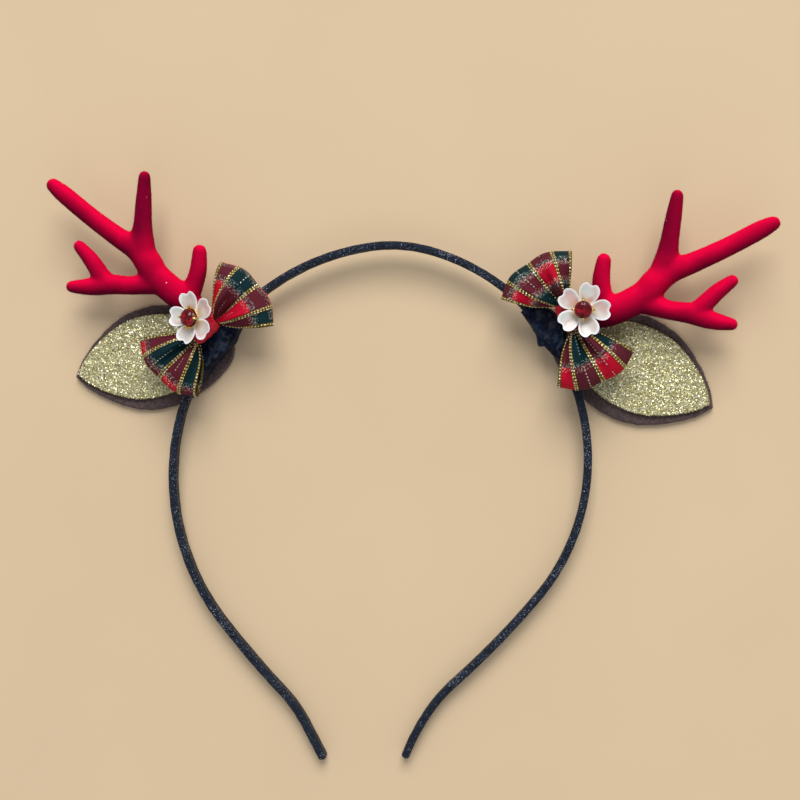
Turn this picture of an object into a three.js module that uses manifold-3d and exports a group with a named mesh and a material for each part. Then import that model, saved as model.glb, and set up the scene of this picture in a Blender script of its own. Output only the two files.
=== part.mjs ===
import * as THREE from 'three'
import { mergeVertices } from 'three/addons/utils/BufferGeometryUtils.js'
import Module from 'manifold-3d'

const wasm = await Module()
wasm.setup()

// Christmas headband in millimetres, lying on its back with its front up.
// Seen from the front, +X is to the right and +Y to the crown; left and right are as seen from the front.
// Until the last step the pieces are placed in the band's own frame, with the band's middle plane at z = 0.

// Band: a flat wrapped spring, its thickness seen from the front and its depth from the side.
// Each row of a leg is an arc, [length, turn in degrees], from the crown down to the foot.
const CROWN_Y = 43.2
const BAND_THICK = 2.3
const BAND_DEEP = 4.2
const BAND_CORNER = 0.6
const BAND_STEP = 5.8
const FOOT_TAPER = 0.7
const BAND_ARCS = {
  left: [[8.6, 11.9], [140.0, 121.0], [26.2, 5.2], [10, -15], [12.5, -3]],
  right: [[8.6, 11.9], [120.1, 113.4], [34.0, 7.9], [12, -14], [14.5, -13]],
}

// Clear space kept between pieces that touch on the real headband
const GAP = 0.3

// Sleeve round the band: cloth folded over it and glued, thicker on the head side and towards the bow
const SLEEVE_WALL = 1.0
const SLEEVE_CORNER = 1.2
const SLEEVE_HOLE_OVERRUN = 1
const SLEEVE_HOLE_STEPS = 8

// Ear leaf: half outline from the base to the tip, [along, half width]
const EAR_THICK = 2.0
const EAR_HALF = [
  [0, 0], [0.5, 3.8], [2.6, 7.0], [8, 10.8], [15, 13.7], [22, 14.9],
  [29, 14.3], [34.5, 12.1], [40.2, 8.5], [45, 4.2], [48, 0],
]
const EAR_LENGTH = EAR_HALF.at(-1)[0]
const EAR_POINTS = 36

// Lining: the same leaf, smaller, cut off along the sleeve
const LINING_THICK = 1.0
const LINING_LENGTH = 43
const LINING_WIDTH_RATIO = 0.79
const LINING_TIP_INSET = 1.4
const LINING_RISE = 0.6
const LINING_CLEAR = 0.8
const CUT_REACH = 20
const CUT_STEPS = 24

// Antler for the right side: a beam and four tines, each row a section [along x, along y, height, radius]
const ANTLER = {
  beam: [
    [1.5, 1.0, 2.3, 2.7], [6.0, 3.3, 3.8, 3.75], [10.7, 6.0, 4.3, 3.75], [14.6, 8.7, 4.5, 3.75],
    [17.0, 12.0, 4.8, 3.7], [20.4, 15.2, 5.0, 3.4], [26.0, 17.6, 5.4, 2.75], [34.9, 22.4, 6.0, 2.5],
    [43.2, 27.5, 6.6, 2.4], [46.8, 29.7, 6.8, 1.9],
  ],
  upperTine: [
    [17.6, 12.0, 4.9, 3.3], [19.3, 17.2, 5.1, 3.25], [19.9, 23.0, 5.3, 2.45], [20.4, 28.9, 5.5, 2.15],
    [21.0, 35.7, 5.8, 1.6],
  ],
  lowerTine: [
    [11.8, 7.2, 4.4, 3.3], [17.0, 5.8, 4.4, 2.9], [21.4, 4.7, 4.6, 2.5], [26.4, 4.3, 4.7, 2.7],
    [32.5, 2.8, 4.9, 2.4], [38.2, 2.0, 5.0, 1.65],
  ],
  lowerFork: [
    [26.8, 3.8, 4.7, 2.3], [29.8, 6.2, 4.9, 2.4], [33.7, 10.5, 5.1, 2.15], [37.4, 13.7, 5.3, 1.65],
  ],
  browTine: [
    [4.6, 2.6, 3.5, 3.0], [3.0, 8.2, 3.9, 2.5], [2.4, 12.2, 4.2, 2.3], [2.7, 17.1, 4.5, 1.9],
  ],
}
const ROOT_ANGLE = 22
const ROOT_HEIGHT = 1.1
const ROOT_RADIUS = 1.9
const ANTLER_SIDES = 10
const ANTLER_STEP = 4.0
const FEWEST_STEPS = 4
const TIP_RINGS = 3
const TIP_ROUND = 3.5

// Bow: one ring of ribbon pinched in the middle into two hollow loops
const BOW_Z = 6.8
const RIBBON_WALL = 1.0
const LOOP_BULGE = 3.9
const LOOP_HALF_WIDTH = 11.5
const PINCH_HALF_WIDTH = 1.4
const PINCH_HALF_HEIGHT = 0.95
const PINCH_HALF_LENGTH = 4.4
const LOOP_FRONT = 3.9
const LOOP_BACK = 2.1
const LOOP_CREST = 0.62
const LOOP_FLARE = 0.68
const LOOP_LOBE = 0.7
const LOOP_BEND_END = 1 / 3
const PLEAT = 1.6
const PLEAT_POWER = 1.2
const PLEAT_CREST = 0.35
const BACK_PLEAT = 0.25
const LOOP_STEPS = 10
const LOOP_BUNCHING = 1.3
const RIBBON_COLUMNS = 8

// Knot: a satin strap round the pinch, a little fuller in the middle
const KNOT_LENGTH = 7.6
const KNOT_WALL = 1.0
const KNOT_BARREL = 0.25
const KNOT_SIDE_GAP = 0.55
const KNOT_CORNER = 1.4
const KNOT_HOLE_CORNER = 0.5
const KNOT_HOLE_OVERRUN = 1.2
const KNOT_STATIONS = [-1, -0.7, 0, 0.7, 1]

// Flower: five cupped petals with a notch at the tip, on a short glue pad
const PETALS = 5
const PETAL_START = 0.6
const PETAL_LENGTH = 7.7
const PETAL_HALF_WIDTH = 2.8
const PETAL_BASE_HALF = 0.5
const PETAL_FLARE_POWER = 1.2
const PETAL_WIDEST = 0.68
const PETAL_TIP_NARROWING = 1.0
const PETAL_SHOULDER = 1.1
const PETAL_NOTCH = 0.95
const PETAL_NOTCH_HALF = 1 / 3
const PETAL_THICK = 1.0
const PETAL_RISE = 1.5
const PETAL_CURL = 1.1
const PETAL_ROWS = 6
const PETAL_COLUMNS = 6
const HEART_RADIUS = 2.1
const PAD_RADIUS = 2.0
const PAD_SIDES = 16

// Setting: a turned cup, [radius, height], with claws bent over the stone along [radius, height]
const CUP_PROFILE = [[0, 0], [1.5, 0], [2.15, 1.3], [1.75, 1.3], [1.2, 0.5], [0, 0.5]]
const CUP_SEGMENTS = 16
const CUP_LIFT = 0.15
const CLAWS = 4
const CLAW_PATH = [[1.75, 0.55], [2.5, 1.1], [2.98, 1.75], [2.9, 2.35], [2.5, 2.75]]
const CLAW_HALF_WIDTH = 0.38
const CLAW_HALF_THICK = 0.24

// Stone: rings of corners from the culet to the table, [radius, height, turn in sides]
const STONE_SIDES = 8
const STONE_RINGS = [
  [0.5, 0.85, 0], [1.2, 1.25, 0], [2.42, 2.0, 0.5], [2.42, 2.25, 0.5], [1.95, 2.75, 0], [1.35, 3.05, 0.5],
]

// Where the pieces of each side sit: x is counted outwards from the middle, turns are in degrees, and
// a sleeve's rows are [distance along the band from the crown, wall on the head side, wall towards the bow].
const SIDES = {
  left: {
    mirror: true,
    sleeve: [
      [50, 0.8, 1.0], [53, 1.6, 1.6], [57, 2.8, 2.3], [60.5, 3.1, 2.5], [64, 2.7, 2.3], [68, 1.9, 1.9],
      [72, 1.7, 1.3], [75, 1.0, 0.8],
    ],
    earTip: [93.2, -0.6], earTurn: -17.4,
    antler: [54.9, 20.6], antlerTurn: 4.2, rootReach: 3.0,
    bow: [52.4, 15.9], bowHeading: 46,
    upperLoop: { turn: -2.5, reach: 19.9, slant: 0 }, lowerLoop: { turn: 3.5, reach: 19.6, slant: 0 },
    flower: [54.7, 19.0], flowerZ: 10.9, flowerTilt: 22, flowerTurn: 1, padLength: 0.6,
  },
  right: {
    mirror: false,
    sleeve: [
      [40, 0.9, 1.6], [44, 0.9, 3.4], [48, 1.6, 4.0], [51, 2.7, 3.8], [52.2, 1.1, 3.0], [55, 0.8, 1.6],
      [57, 0.7, 0.8],
    ],
    earTip: [89.8, 4.4], earTurn: -22,
    antler: [54.0, 25.5], antlerTurn: 0, rootReach: 5.7,
    bow: [48.0, 26.4], bowHeading: 55,
    upperLoop: { turn: -8, reach: 18.6, slant: -1 }, lowerLoop: { turn: 2.5, reach: 20.4, slant: 0.5 },
    flower: [52.2, 28.6], flowerZ: 10.0, flowerTilt: 0, flowerTurn: 3.5, padLength: 0.2,
  },
}

// Looks: colour, roughness and metalness of each material
const COLOURS = {
  wrap: [0x10151f, 0.45, 0],
  sleeve: [0x0c1018, 0.3, 0],
  felt: [0x3a2a2c, 0.95, 0],
  glitter: [0xb9b27c, 0.35, 0.4],
  flock: [0xd0022c, 0.9, 0],
  tartan: [0x8c1526, 0.6, 0],
  satin: [0xc01630, 0.4, 0],
  pearl: [0xf4e9e4, 0.25, 0],
  gold: [0xd8b45a, 0.25, 1],
  stone: [0xa0061c, 0.05, 0],
}

// Distance within which two corners are one
const WELD = 1e-4

// Shared helpers

function volumeOf(positions, index) {
  let sum = 0
  const a = new THREE.Vector3()
  const b = new THREE.Vector3()
  const c = new THREE.Vector3()
  for (let i = 0; i < index.length; i += 3) {
    a.fromArray(positions, index[i] * 3)
    b.fromArray(positions, index[i + 1] * 3)
    c.fromArray(positions, index[i + 2] * 3)
    sum += a.dot(b.cross(c)) / 6
  }
  return sum
}

function turnedRound(index) {
  const faces = []
  for (let i = 0; i < index.length; i += 3) {
    faces.push(index[i + 2], index[i + 1], index[i])
  }
  return faces
}

// A closed geometry with its faces pointing out, whichever way round they were given
function solid(positions, index) {
  const geometry = new THREE.BufferGeometry()
  geometry.setAttribute('position', new THREE.Float32BufferAttribute(positions, 3))
  geometry.setIndex(volumeOf(positions, index) < 0 ? turnedRound(index) : index)
  return geometry
}

// A skin over rings with the same number of points, closed at both ends by a fan
function loft(rings) {
  const count = rings[0].length
  const positions = rings.flat().flatMap((p) => p.toArray())
  const index = []
  for (let r = 0; r + 1 < rings.length; r++) {
    for (let k = 0; k < count; k++) {
      const a = r * count + k
      const b = r * count + (k + 1) % count
      index.push(a, b, b + count, a, b + count, a + count)
    }
  }
  for (const end of [0, rings.length - 1]) {
    const centre = rings[end].reduce((sum, p) => sum.add(p), new THREE.Vector3()).divideScalar(count)
    const hub = positions.length / 3
    positions.push(...centre.toArray())
    for (let k = 0; k < count; k++) {
      const a = end * count + k
      const b = end * count + (k + 1) % count
      index.push(...(end === 0 ? [b, a, hub] : [a, b, hub]))
    }
  }
  return solid(positions, index)
}

// A closed plate from two grids of points, [row][column]; a ring has its last row joined to its first
function plate(front, back, ring) {
  const rows = front.length
  const columns = front[0].length
  const positions = [...front.flat(), ...back.flat()].flatMap((p) => p.toArray())
  const at = (side, r, c) => side * rows * columns + (r % rows) * columns + c
  const index = []
  const quad = (a, b, c, d) => index.push(a, b, c, a, c, d)
  for (let r = 0; r < (ring ? rows : rows - 1); r++) {
    for (let c = 0; c + 1 < columns; c++) {
      quad(at(0, r, c), at(0, r, c + 1), at(0, r + 1, c + 1), at(0, r + 1, c))
      quad(at(1, r, c + 1), at(1, r, c), at(1, r + 1, c), at(1, r + 1, c + 1))
    }
    quad(at(0, r + 1, 0), at(1, r + 1, 0), at(1, r, 0), at(0, r, 0))
    const c = columns - 1
    quad(at(0, r, c), at(1, r, c), at(1, r + 1, c), at(0, r + 1, c))
  }
  for (let c = 0; !ring && c + 1 < columns; c++) {
    const r = rows - 1
    quad(at(0, 0, c), at(1, 0, c), at(1, 0, c + 1), at(0, 0, c + 1))
    quad(at(0, r, c + 1), at(1, r, c + 1), at(1, r, c), at(0, r, c))
  }
  return solid(positions, index)
}

function body(geometry) {
  const bare = geometry.clone()
  bare.deleteAttribute('normal')
  bare.deleteAttribute('uv')
  const merged = mergeVertices(bare, WELD)
  const vertProperties = new Float32Array(merged.attributes.position.array)
  const triVerts = new Uint32Array(merged.index.array)
  return new wasm.Manifold(new wasm.Mesh({ numProp: 3, vertProperties, triVerts }))
}

function unwrap(manifold) {
  const mesh = manifold.getMesh()
  return solid(Array.from(mesh.vertProperties), Array.from(mesh.triVerts))
}

const joined = (parts) => unwrap(parts.map(body).reduce((sum, part) => sum.add(part)))
const cutAway = (whole, tool) => unwrap(body(whole).subtract(body(tool)))

// Corners of a section from low to high one way and half each way the other, each corner cut once
function roundedRectangle(low, high, half, corner) {
  const points = []
  const centres = [
    [high - corner, half - corner], [low + corner, half - corner],
    [low + corner, corner - half], [high - corner, corner - half],
  ]
  centres.forEach(([x, y], quarter) => {
    for (const part of [0, 1]) {
      const angle = (quarter + part) * Math.PI / 2
      points.push([x + corner * Math.cos(angle), y + corner * Math.sin(angle)])
    }
  })
  return points
}

// Band

// The band's middle line and its outward direction at a distance down one leg
function bandAt(side, distance) {
  let x = 0
  let y = CROWN_Y
  let heading = 0
  let left = distance
  for (const [length, degrees] of BAND_ARCS[side]) {
    const part = Math.min(left, length)
    const turn = THREE.MathUtils.degToRad(degrees) * part / length
    const chord = turn === 0 ? part : 2 * part / turn * Math.sin(turn / 2)
    x += chord * Math.cos(heading + turn / 2)
    y -= chord * Math.sin(heading + turn / 2)
    heading += turn
    left -= part
    if (left <= 0) {
      break
    }
  }
  return { x, y, outX: Math.sin(heading), outY: Math.cos(heading) }
}

const legLength = (side) => BAND_ARCS[side].reduce((sum, row) => sum + row[0], 0)

// A ring of section points [outwards, upwards] set across the band at a distance down one leg
function bandRing(side, distance, section) {
  const at = bandAt(side, distance)
  return section.map(([out, up]) => new THREE.Vector3(at.x + out * at.outX, at.y + out * at.outY, up))
}

function makeBand() {
  const half = BAND_THICK / 2
  const section = roundedRectangle(-half, half, BAND_DEEP / 2, BAND_CORNER)
  const footHalf = half * FOOT_TAPER
  const foot = roundedRectangle(-footHalf, footHalf, BAND_DEEP / 2 - BAND_CORNER, BAND_CORNER / 2)
  const legRings = (side) => {
    const straight = legLength(side) - BAND_CORNER
    const steps = Math.round(straight / BAND_STEP)
    const rings = []
    for (let k = 0; k <= steps; k++) {
      rings.push(bandRing(side, k * straight / steps, section))
    }
    rings.push(bandRing(side, legLength(side), foot))
    return rings
  }
  const left = legRings('left')
  left.flat().forEach((p) => p.setX(-p.x))
  return loft([...left.reverse(), ...legRings('right').slice(1)])
}

const sleeveEnds = (spec) => [spec.sleeve[0][0], spec.sleeve.at(-1)[0]]

// How thick a sleeve's wall is towards the bow at a distance along the band
function sleeveOuterWall(spec, distance) {
  const next = spec.sleeve.findIndex((row) => row[0] >= distance)
  if (next < 1) {
    return spec.sleeve.at(next)[2]
  }
  const [before, , wallBefore] = spec.sleeve[next - 1]
  const [after, , wallAfter] = spec.sleeve[next]
  return THREE.MathUtils.mapLinear(distance, before, after, wallBefore, wallAfter)
}

function makeSleeve(side, spec) {
  const [from, to] = sleeveEnds(spec)
  const half = BAND_THICK / 2 + GAP
  const deep = BAND_DEEP / 2 + GAP
  const outer = spec.sleeve.map(([distance, headWall, bowWall]) => {
    const section = roundedRectangle(-half - headWall, half + bowWall, deep + SLEEVE_WALL, SLEEVE_CORNER)
    return bandRing(side, distance, section)
  })
  const hole = roundedRectangle(-half, half, deep, BAND_CORNER)
  const inner = []
  for (let k = 0; k <= SLEEVE_HOLE_STEPS; k++) {
    const part = k / SLEEVE_HOLE_STEPS
    const distance = THREE.MathUtils.lerp(from - SLEEVE_HOLE_OVERRUN, to + SLEEVE_HOLE_OVERRUN, part)
    inner.push(bandRing(side, distance, hole))
  }
  return cutAway(loft(outer), loft(inner))
}

// Ears

function leafShape(halfOutline) {
  const curve = new THREE.SplineCurve(halfOutline.map(([x, y]) => new THREE.Vector2(x, y)))
  const upper = curve.getPoints(EAR_POINTS)
  const lower = upper.slice(1, -1).reverse().map((p) => new THREE.Vector2(p.x, -p.y))
  return new THREE.Shape([...upper, ...lower])
}

function extruded(shape, thick) {
  return new THREE.ExtrudeGeometry(shape, { depth: thick, bevelEnabled: false, curveSegments: 1 })
}

function earPlacement(spec, shift, rise) {
  const turn = THREE.MathUtils.degToRad(spec.earTurn)
  return new THREE.Matrix4().makeTranslation(spec.earTip[0], spec.earTip[1], 0)
    .multiply(new THREE.Matrix4().makeRotationZ(turn))
    .multiply(new THREE.Matrix4().makeTranslation(shift - EAR_LENGTH, rise, 0))
}

function makeEar(spec) {
  return extruded(leafShape(EAR_HALF), EAR_THICK).applyMatrix4(earPlacement(spec, 0, 0))
}

// The glitter leaf stops short of the sleeve, along a cut that follows the band
function makeLining(side, spec) {
  const ratio = LINING_LENGTH / EAR_LENGTH
  const outline = EAR_HALF.map(([x, y]) => [x * ratio, y * LINING_WIDTH_RATIO])
  const shift = EAR_LENGTH - LINING_LENGTH - LINING_TIP_INSET
  const place = earPlacement(spec, shift, LINING_RISE)
  const leaf = extruded(leafShape(outline), LINING_THICK).applyMatrix4(place)
  const [from, to] = sleeveEnds(spec)
  const rings = []
  for (let k = 0; k <= CUT_STEPS; k++) {
    const distance = THREE.MathUtils.lerp(from - CUT_REACH, to + CUT_REACH, k / CUT_STEPS)
    const beside = distance < to + LINING_CLEAR ? sleeveOuterWall(spec, distance) : 0
    const clear = BAND_THICK / 2 + GAP + beside + LINING_CLEAR
    const strip = [
      [clear, -CUT_REACH], [clear, CUT_REACH], [-CUT_REACH, CUT_REACH], [-CUT_REACH, -CUT_REACH],
    ]
    rings.push(bandRing(side, distance, strip))
  }
  return cutAway(leaf, loft(rings))
}

// Antlers

// A circle of corners square to a direction
function circle(centre, along, radius) {
  const up = new THREE.Vector3(0, 0, 1)
  const across = new THREE.Vector3().crossVectors(along, up).normalize()
  const over = new THREE.Vector3().crossVectors(across, along)
  const ring = []
  for (let k = 0; k < ANTLER_SIDES; k++) {
    const angle = 2 * Math.PI * k / ANTLER_SIDES
    const corner = centre.clone().addScaledVector(across, radius * Math.cos(angle))
    ring.push(corner.addScaledVector(over, radius * Math.sin(angle)))
  }
  return ring
}

// A tapering branch through its sections, with a rounded tip
function branch(rows) {
  const curve = new THREE.CatmullRomCurve3(rows.map(([x, y, z]) => new THREE.Vector3(x, y, z)))
  const radii = new THREE.CatmullRomCurve3(rows.map((row, k) => new THREE.Vector3(row[3], k, 0)))
  const steps = Math.max(FEWEST_STEPS, Math.round(curve.getLength() / ANTLER_STEP))
  const rings = []
  for (let k = 0; k <= steps; k++) {
    const part = k / steps
    rings.push(circle(curve.getPoint(part), curve.getTangent(part), radii.getPoint(part).x))
  }
  const along = curve.getTangent(1)
  const radius = rows.at(-1)[3]
  for (let k = 1; k <= TIP_RINGS; k++) {
    const angle = k / TIP_ROUND * Math.PI / 2
    const centre = curve.getPoint(1).addScaledVector(along, radius * Math.sin(angle))
    rings.push(circle(centre, along, radius * Math.cos(angle)))
  }
  return loft(rings)
}

function makeAntler(spec) {
  const turn = new THREE.Matrix4().makeRotationZ(THREE.MathUtils.degToRad(spec.antlerTurn))
  const place = new THREE.Matrix4().makeTranslation(spec.antler[0], spec.antler[1], 0).multiply(turn)
  const inwards = THREE.MathUtils.degToRad(ROOT_ANGLE)
  const rootX = -spec.rootReach * Math.cos(inwards)
  const rootY = -spec.rootReach * Math.sin(inwards)
  const { beam, ...tines } = ANTLER
  const rooted = [[rootX, rootY, ROOT_HEIGHT, ROOT_RADIUS], ...beam]
  return joined([rooted, ...Object.values(tines)].map(branch)).applyMatrix4(place)
}

// Bows

// Bow frame: u along the ribbon down the leg, v outwards, w up from the middle of the knot
function bowPlacement(spec) {
  const heading = THREE.MathUtils.degToRad(spec.bowHeading)
  const u = new THREE.Vector3(Math.cos(heading), -Math.sin(heading), 0)
  const v = new THREE.Vector3(Math.sin(heading), Math.cos(heading), 0)
  const w = new THREE.Vector3(0, 0, 1)
  return new THREE.Matrix4().makeBasis(u, v, w).setPosition(spec.bow[0], spec.bow[1], BOW_Z)
}

// Half height of a loop at a part of the way from the pinch to its end
function loopHeight(part, height) {
  if (part <= LOOP_CREST) {
    return PINCH_HALF_HEIGHT + (height - PINCH_HALF_HEIGHT) * Math.sin(Math.PI / 2 * part / LOOP_CREST)
  }
  return height * Math.sqrt(Math.max(0, 1 - ((part - LOOP_CREST) / (1 - LOOP_CREST)) ** 2))
}

// A point of the ribbon's middle surface: which loop, how far from the pinch, front or back, and across it.
// The front has two ridges with a valley between them, deepest near the knot.
function ribbonPoint([sign, part, front], across, spec) {
  const loop = sign > 0 ? spec.lowerLoop : spec.upperLoop
  const lobe = LOOP_LOBE / 2 * Math.cos(2 * Math.PI * across)
  const reach = loop.reach + loop.slant * across - LOOP_BULGE * across * across - lobe - RIBBON_WALL / 2
  const half = PINCH_HALF_WIDTH + (LOOP_HALF_WIDTH - PINCH_HALF_WIDTH) * part ** LOOP_FLARE
  const swell = part / PLEAT_CREST
  const depth = PLEAT * (swell * Math.exp(1 - swell)) ** PLEAT_POWER * (1 - part * part)
  const fold = -depth * Math.cos(2 * Math.PI * across)
  const height = loopHeight(part, front ? LOOP_FRONT : LOOP_BACK)
  const w = front ? height + fold : -height + BACK_PLEAT * fold
  const turn = -THREE.MathUtils.degToRad(loop.turn) * Math.min(1, part / LOOP_BEND_END)
  const away = sign * (reach - PINCH_HALF_LENGTH) * part
  const v = across * half
  const u = sign * PINCH_HALF_LENGTH + away * Math.cos(turn) - v * Math.sin(turn)
  return new THREE.Vector3(u, away * Math.sin(turn) + v * Math.cos(turn), w)
}

// Rows of the ring run over the front from one loop's end to the other and home along the back
function ribbonRows() {
  const outwards = []
  for (let k = 0; k <= LOOP_STEPS; k++) {
    outwards.push(Math.sin(k / LOOP_STEPS * Math.PI / 2) ** LOOP_BUNCHING)
  }
  const inwards = outwards.toReversed()
  return [
    ...inwards.map((part) => [1, part, true]),
    ...outwards.map((part) => [-1, part, true]),
    ...inwards.slice(1).map((part) => [-1, part, false]),
    ...outwards.slice(0, -1).map((part) => [1, part, false]),
  ]
}

function makeBow(spec) {
  const rows = ribbonRows()
  const outer = []
  const inner = []
  const step = 1e-3
  rows.forEach((row, r) => {
    const before = rows.at(r - 1)
    const after = rows[(r + 1) % rows.length]
    const outerRow = []
    const innerRow = []
    for (let c = 0; c <= RIBBON_COLUMNS; c++) {
      const across = 2 * c / RIBBON_COLUMNS - 1
      const at = (place, t) => ribbonPoint(place, t, spec)
      const along = at(after, across).sub(at(before, across))
      const over = at(row, across + step).sub(at(row, across - step))
      const normal = new THREE.Vector3().crossVectors(over, along).normalize()
      outerRow.push(at(row, across).addScaledVector(normal, RIBBON_WALL / 2))
      innerRow.push(at(row, across).addScaledVector(normal, -RIBBON_WALL / 2))
    }
    outer.push(outerRow)
    inner.push(innerRow)
  })
  return plate(outer, inner, true).applyMatrix4(bowPlacement(spec))
}

function makeKnot(spec) {
  const half = PINCH_HALF_WIDTH + KNOT_SIDE_GAP
  const high = PINCH_HALF_HEIGHT + RIBBON_WALL / 2 + GAP
  const ringAt = (u, halfWidth, halfHeight, corner) => {
    const section = roundedRectangle(-halfWidth, halfWidth, halfHeight, corner)
    return section.map(([v, w]) => new THREE.Vector3(u, v, w))
  }
  const outer = []
  const inner = []
  for (const station of KNOT_STATIONS) {
    const u = station * KNOT_LENGTH / 2
    const wall = KNOT_WALL - KNOT_BARREL * station * station
    outer.push(ringAt(u, half + wall, high + wall, KNOT_CORNER))
    inner.push(ringAt(u * KNOT_HOLE_OVERRUN, half, high, KNOT_HOLE_CORNER))
  }
  return cutAway(loft(outer), loft(inner)).applyMatrix4(bowPlacement(spec))
}

// Flowers

function flowerPlacement(spec) {
  const tilt = new THREE.Matrix4().makeRotationY(THREE.MathUtils.degToRad(spec.flowerTilt))
  const turn = new THREE.Matrix4().makeRotationZ(THREE.MathUtils.degToRad(spec.flowerTurn))
  const place = new THREE.Matrix4().makeTranslation(spec.flower[0], spec.flower[1], spec.flowerZ)
  return place.multiply(tilt).multiply(turn)
}

// A cupped petal: it widens from its base, narrows at the tip and is notched there
function makePetal(turn) {
  const top = []
  const under = []
  for (let r = 0; r <= PETAL_ROWS; r++) {
    const along = r / PETAL_ROWS
    const widening = Math.sin(Math.PI / 2 * Math.min(1, along / PETAL_WIDEST)) ** PETAL_FLARE_POWER
    const beyond = Math.max(0, along - PETAL_WIDEST) / (1 - PETAL_WIDEST)
    const widest = THREE.MathUtils.lerp(PETAL_BASE_HALF, PETAL_HALF_WIDTH, widening)
    const half = widest - PETAL_TIP_NARROWING * beyond * beyond
    const topRow = []
    const underRow = []
    for (let c = 0; c <= PETAL_COLUMNS; c++) {
      const t = 2 * c / PETAL_COLUMNS - 1
      const shoulder = PETAL_SHOULDER * t * t
      const notch = PETAL_NOTCH * Math.max(0, 1 - Math.abs(t) / PETAL_NOTCH_HALF)
      const x = PETAL_START + (PETAL_LENGTH - PETAL_START - (notch + shoulder) * along ** 3) * along
      const z = PETAL_RISE * along * along + PETAL_CURL * t * t * Math.sin(Math.PI / 2 * along)
      topRow.push(new THREE.Vector3(x, t * half, z + PETAL_THICK))
      underRow.push(new THREE.Vector3(x, t * half, z))
    }
    top.push(topRow)
    under.push(underRow)
  }
  return plate(top, under, false).rotateZ(turn)
}

function makePetals(spec) {
  const pad = new THREE.CylinderGeometry(HEART_RADIUS, PAD_RADIUS, spec.padLength + PETAL_THICK, PAD_SIDES)
  pad.rotateX(Math.PI / 2).translate(0, 0, (PETAL_THICK - spec.padLength) / 2)
  const parts = [pad]
  for (let k = 0; k < PETALS; k++) {
    parts.push(makePetal(2 * Math.PI * k / PETALS))
  }
  return joined(parts).applyMatrix4(flowerPlacement(spec))
}

function makeSetting(spec) {
  const cup = new THREE.LatheGeometry(CUP_PROFILE.map(([x, y]) => new THREE.Vector2(x, y)), CUP_SEGMENTS)
    .rotateX(Math.PI / 2)
  const parts = [cup]
  const path = CLAW_PATH.map(([x, z]) => new THREE.Vector3(x, 0, z))
  for (let k = 0; k < CLAWS; k++) {
    const rings = path.map((p, i) => {
      const next = path[Math.min(i + 1, path.length - 1)]
      const along = next.clone().sub(path[Math.max(i - 1, 0)]).normalize()
      const thick = new THREE.Vector3(-along.z, 0, along.x).multiplyScalar(CLAW_HALF_THICK)
      const wide = new THREE.Vector3(0, CLAW_HALF_WIDTH, 0)
      const corners = [[1, 1], [-1, 1], [-1, -1], [1, -1]]
      return corners.map(([a, b]) => p.clone().addScaledVector(thick, a).addScaledVector(wide, b))
    })
    parts.push(loft(rings).rotateZ(2 * Math.PI * k / CLAWS))
  }
  return joined(parts).translate(0, 0, PETAL_THICK + GAP + CUP_LIFT).applyMatrix4(flowerPlacement(spec))
}

function makeStone(spec) {
  const rings = STONE_RINGS.map(([radius, z, shift]) => {
    const ring = []
    for (let k = 0; k < STONE_SIDES; k++) {
      const angle = 2 * Math.PI * (k + shift) / STONE_SIDES
      ring.push(new THREE.Vector3(radius * Math.cos(angle), radius * Math.sin(angle), z))
    }
    return ring
  })
  return loft(rings).translate(0, 0, PETAL_THICK + GAP + CUP_LIFT).applyMatrix4(flowerPlacement(spec))
}

// Assembly

function mirrored(geometry) {
  const { index, attributes } = geometry.index ? geometry : mergeVertices(geometry, WELD)
  const positions = Array.from(attributes.position.array, (value, i) => (i % 3 === 0 ? -value : value))
  return solid(positions, Array.from(index.array))
}

function piece(name, geometry, slot) {
  const [color, roughness, metalness] = COLOURS[slot]
  const mesh = new THREE.Mesh(geometry, new THREE.MeshStandardMaterial({ color, roughness, metalness }))
  mesh.name = name
  return mesh
}

const headband = new THREE.Group()
headband.name = 'headband'

// The band leans so that its two ends and the two ears' backs touch the floor together
const sleeveUnder = BAND_DEEP / 2 + GAP + SLEEVE_WALL
const sideNames = Object.keys(SIDES)
const lowestSleeve = Math.min(...sideNames.map((side) => bandAt(side, sleeveEnds(SIDES[side])[1]).y))
const lowestFoot = Math.min(...sideNames.map((side) => bandAt(side, legLength(side)).y))
const lean = Math.asin((EAR_THICK + GAP + sleeveUnder - BAND_DEEP / 2) / (lowestSleeve - lowestFoot))
const leaning = new THREE.Group()
leaning.rotation.x = lean
leaning.position.z = BAND_DEEP / 2 - lowestFoot * Math.sin(lean)
headband.add(leaning)

leaning.add(piece('band', makeBand(), 'wrap'))
for (const [side, spec] of Object.entries(SIDES)) {
  const finish = (geometry) => (spec.mirror ? mirrored(geometry) : geometry)
  leaning.add(piece(`${side}_sleeve`, finish(makeSleeve(side, spec)), 'sleeve'))
  headband.add(piece(`${side}_ear`, finish(makeEar(spec)), 'felt'))
  const lining = piece(`${side}_ear_lining`, finish(makeLining(side, spec)), 'glitter')
  lining.position.z = EAR_THICK + GAP
  headband.add(lining)
  leaning.add(piece(`${side}_antler`, finish(makeAntler(spec)), 'flock'))
  leaning.add(piece(`${side}_bow`, finish(makeBow(spec)), 'tartan'))
  leaning.add(piece(`${side}_knot`, finish(makeKnot(spec)), 'satin'))
  leaning.add(piece(`${side}_petals`, finish(makePetals(spec)), 'pearl'))
  leaning.add(piece(`${side}_setting`, finish(makeSetting(spec)), 'gold'))
  leaning.add(piece(`${side}_stone`, finish(makeStone(spec)), 'stone'))
}

// The frame's origin is the middle of the underside of the whole headband
const box = new THREE.Box3().setFromObject(headband, true)
const origin = box.getCenter(new THREE.Vector3()).setZ(box.min.z)
headband.children.forEach((child) => child.position.sub(origin))

export default headband
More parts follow.
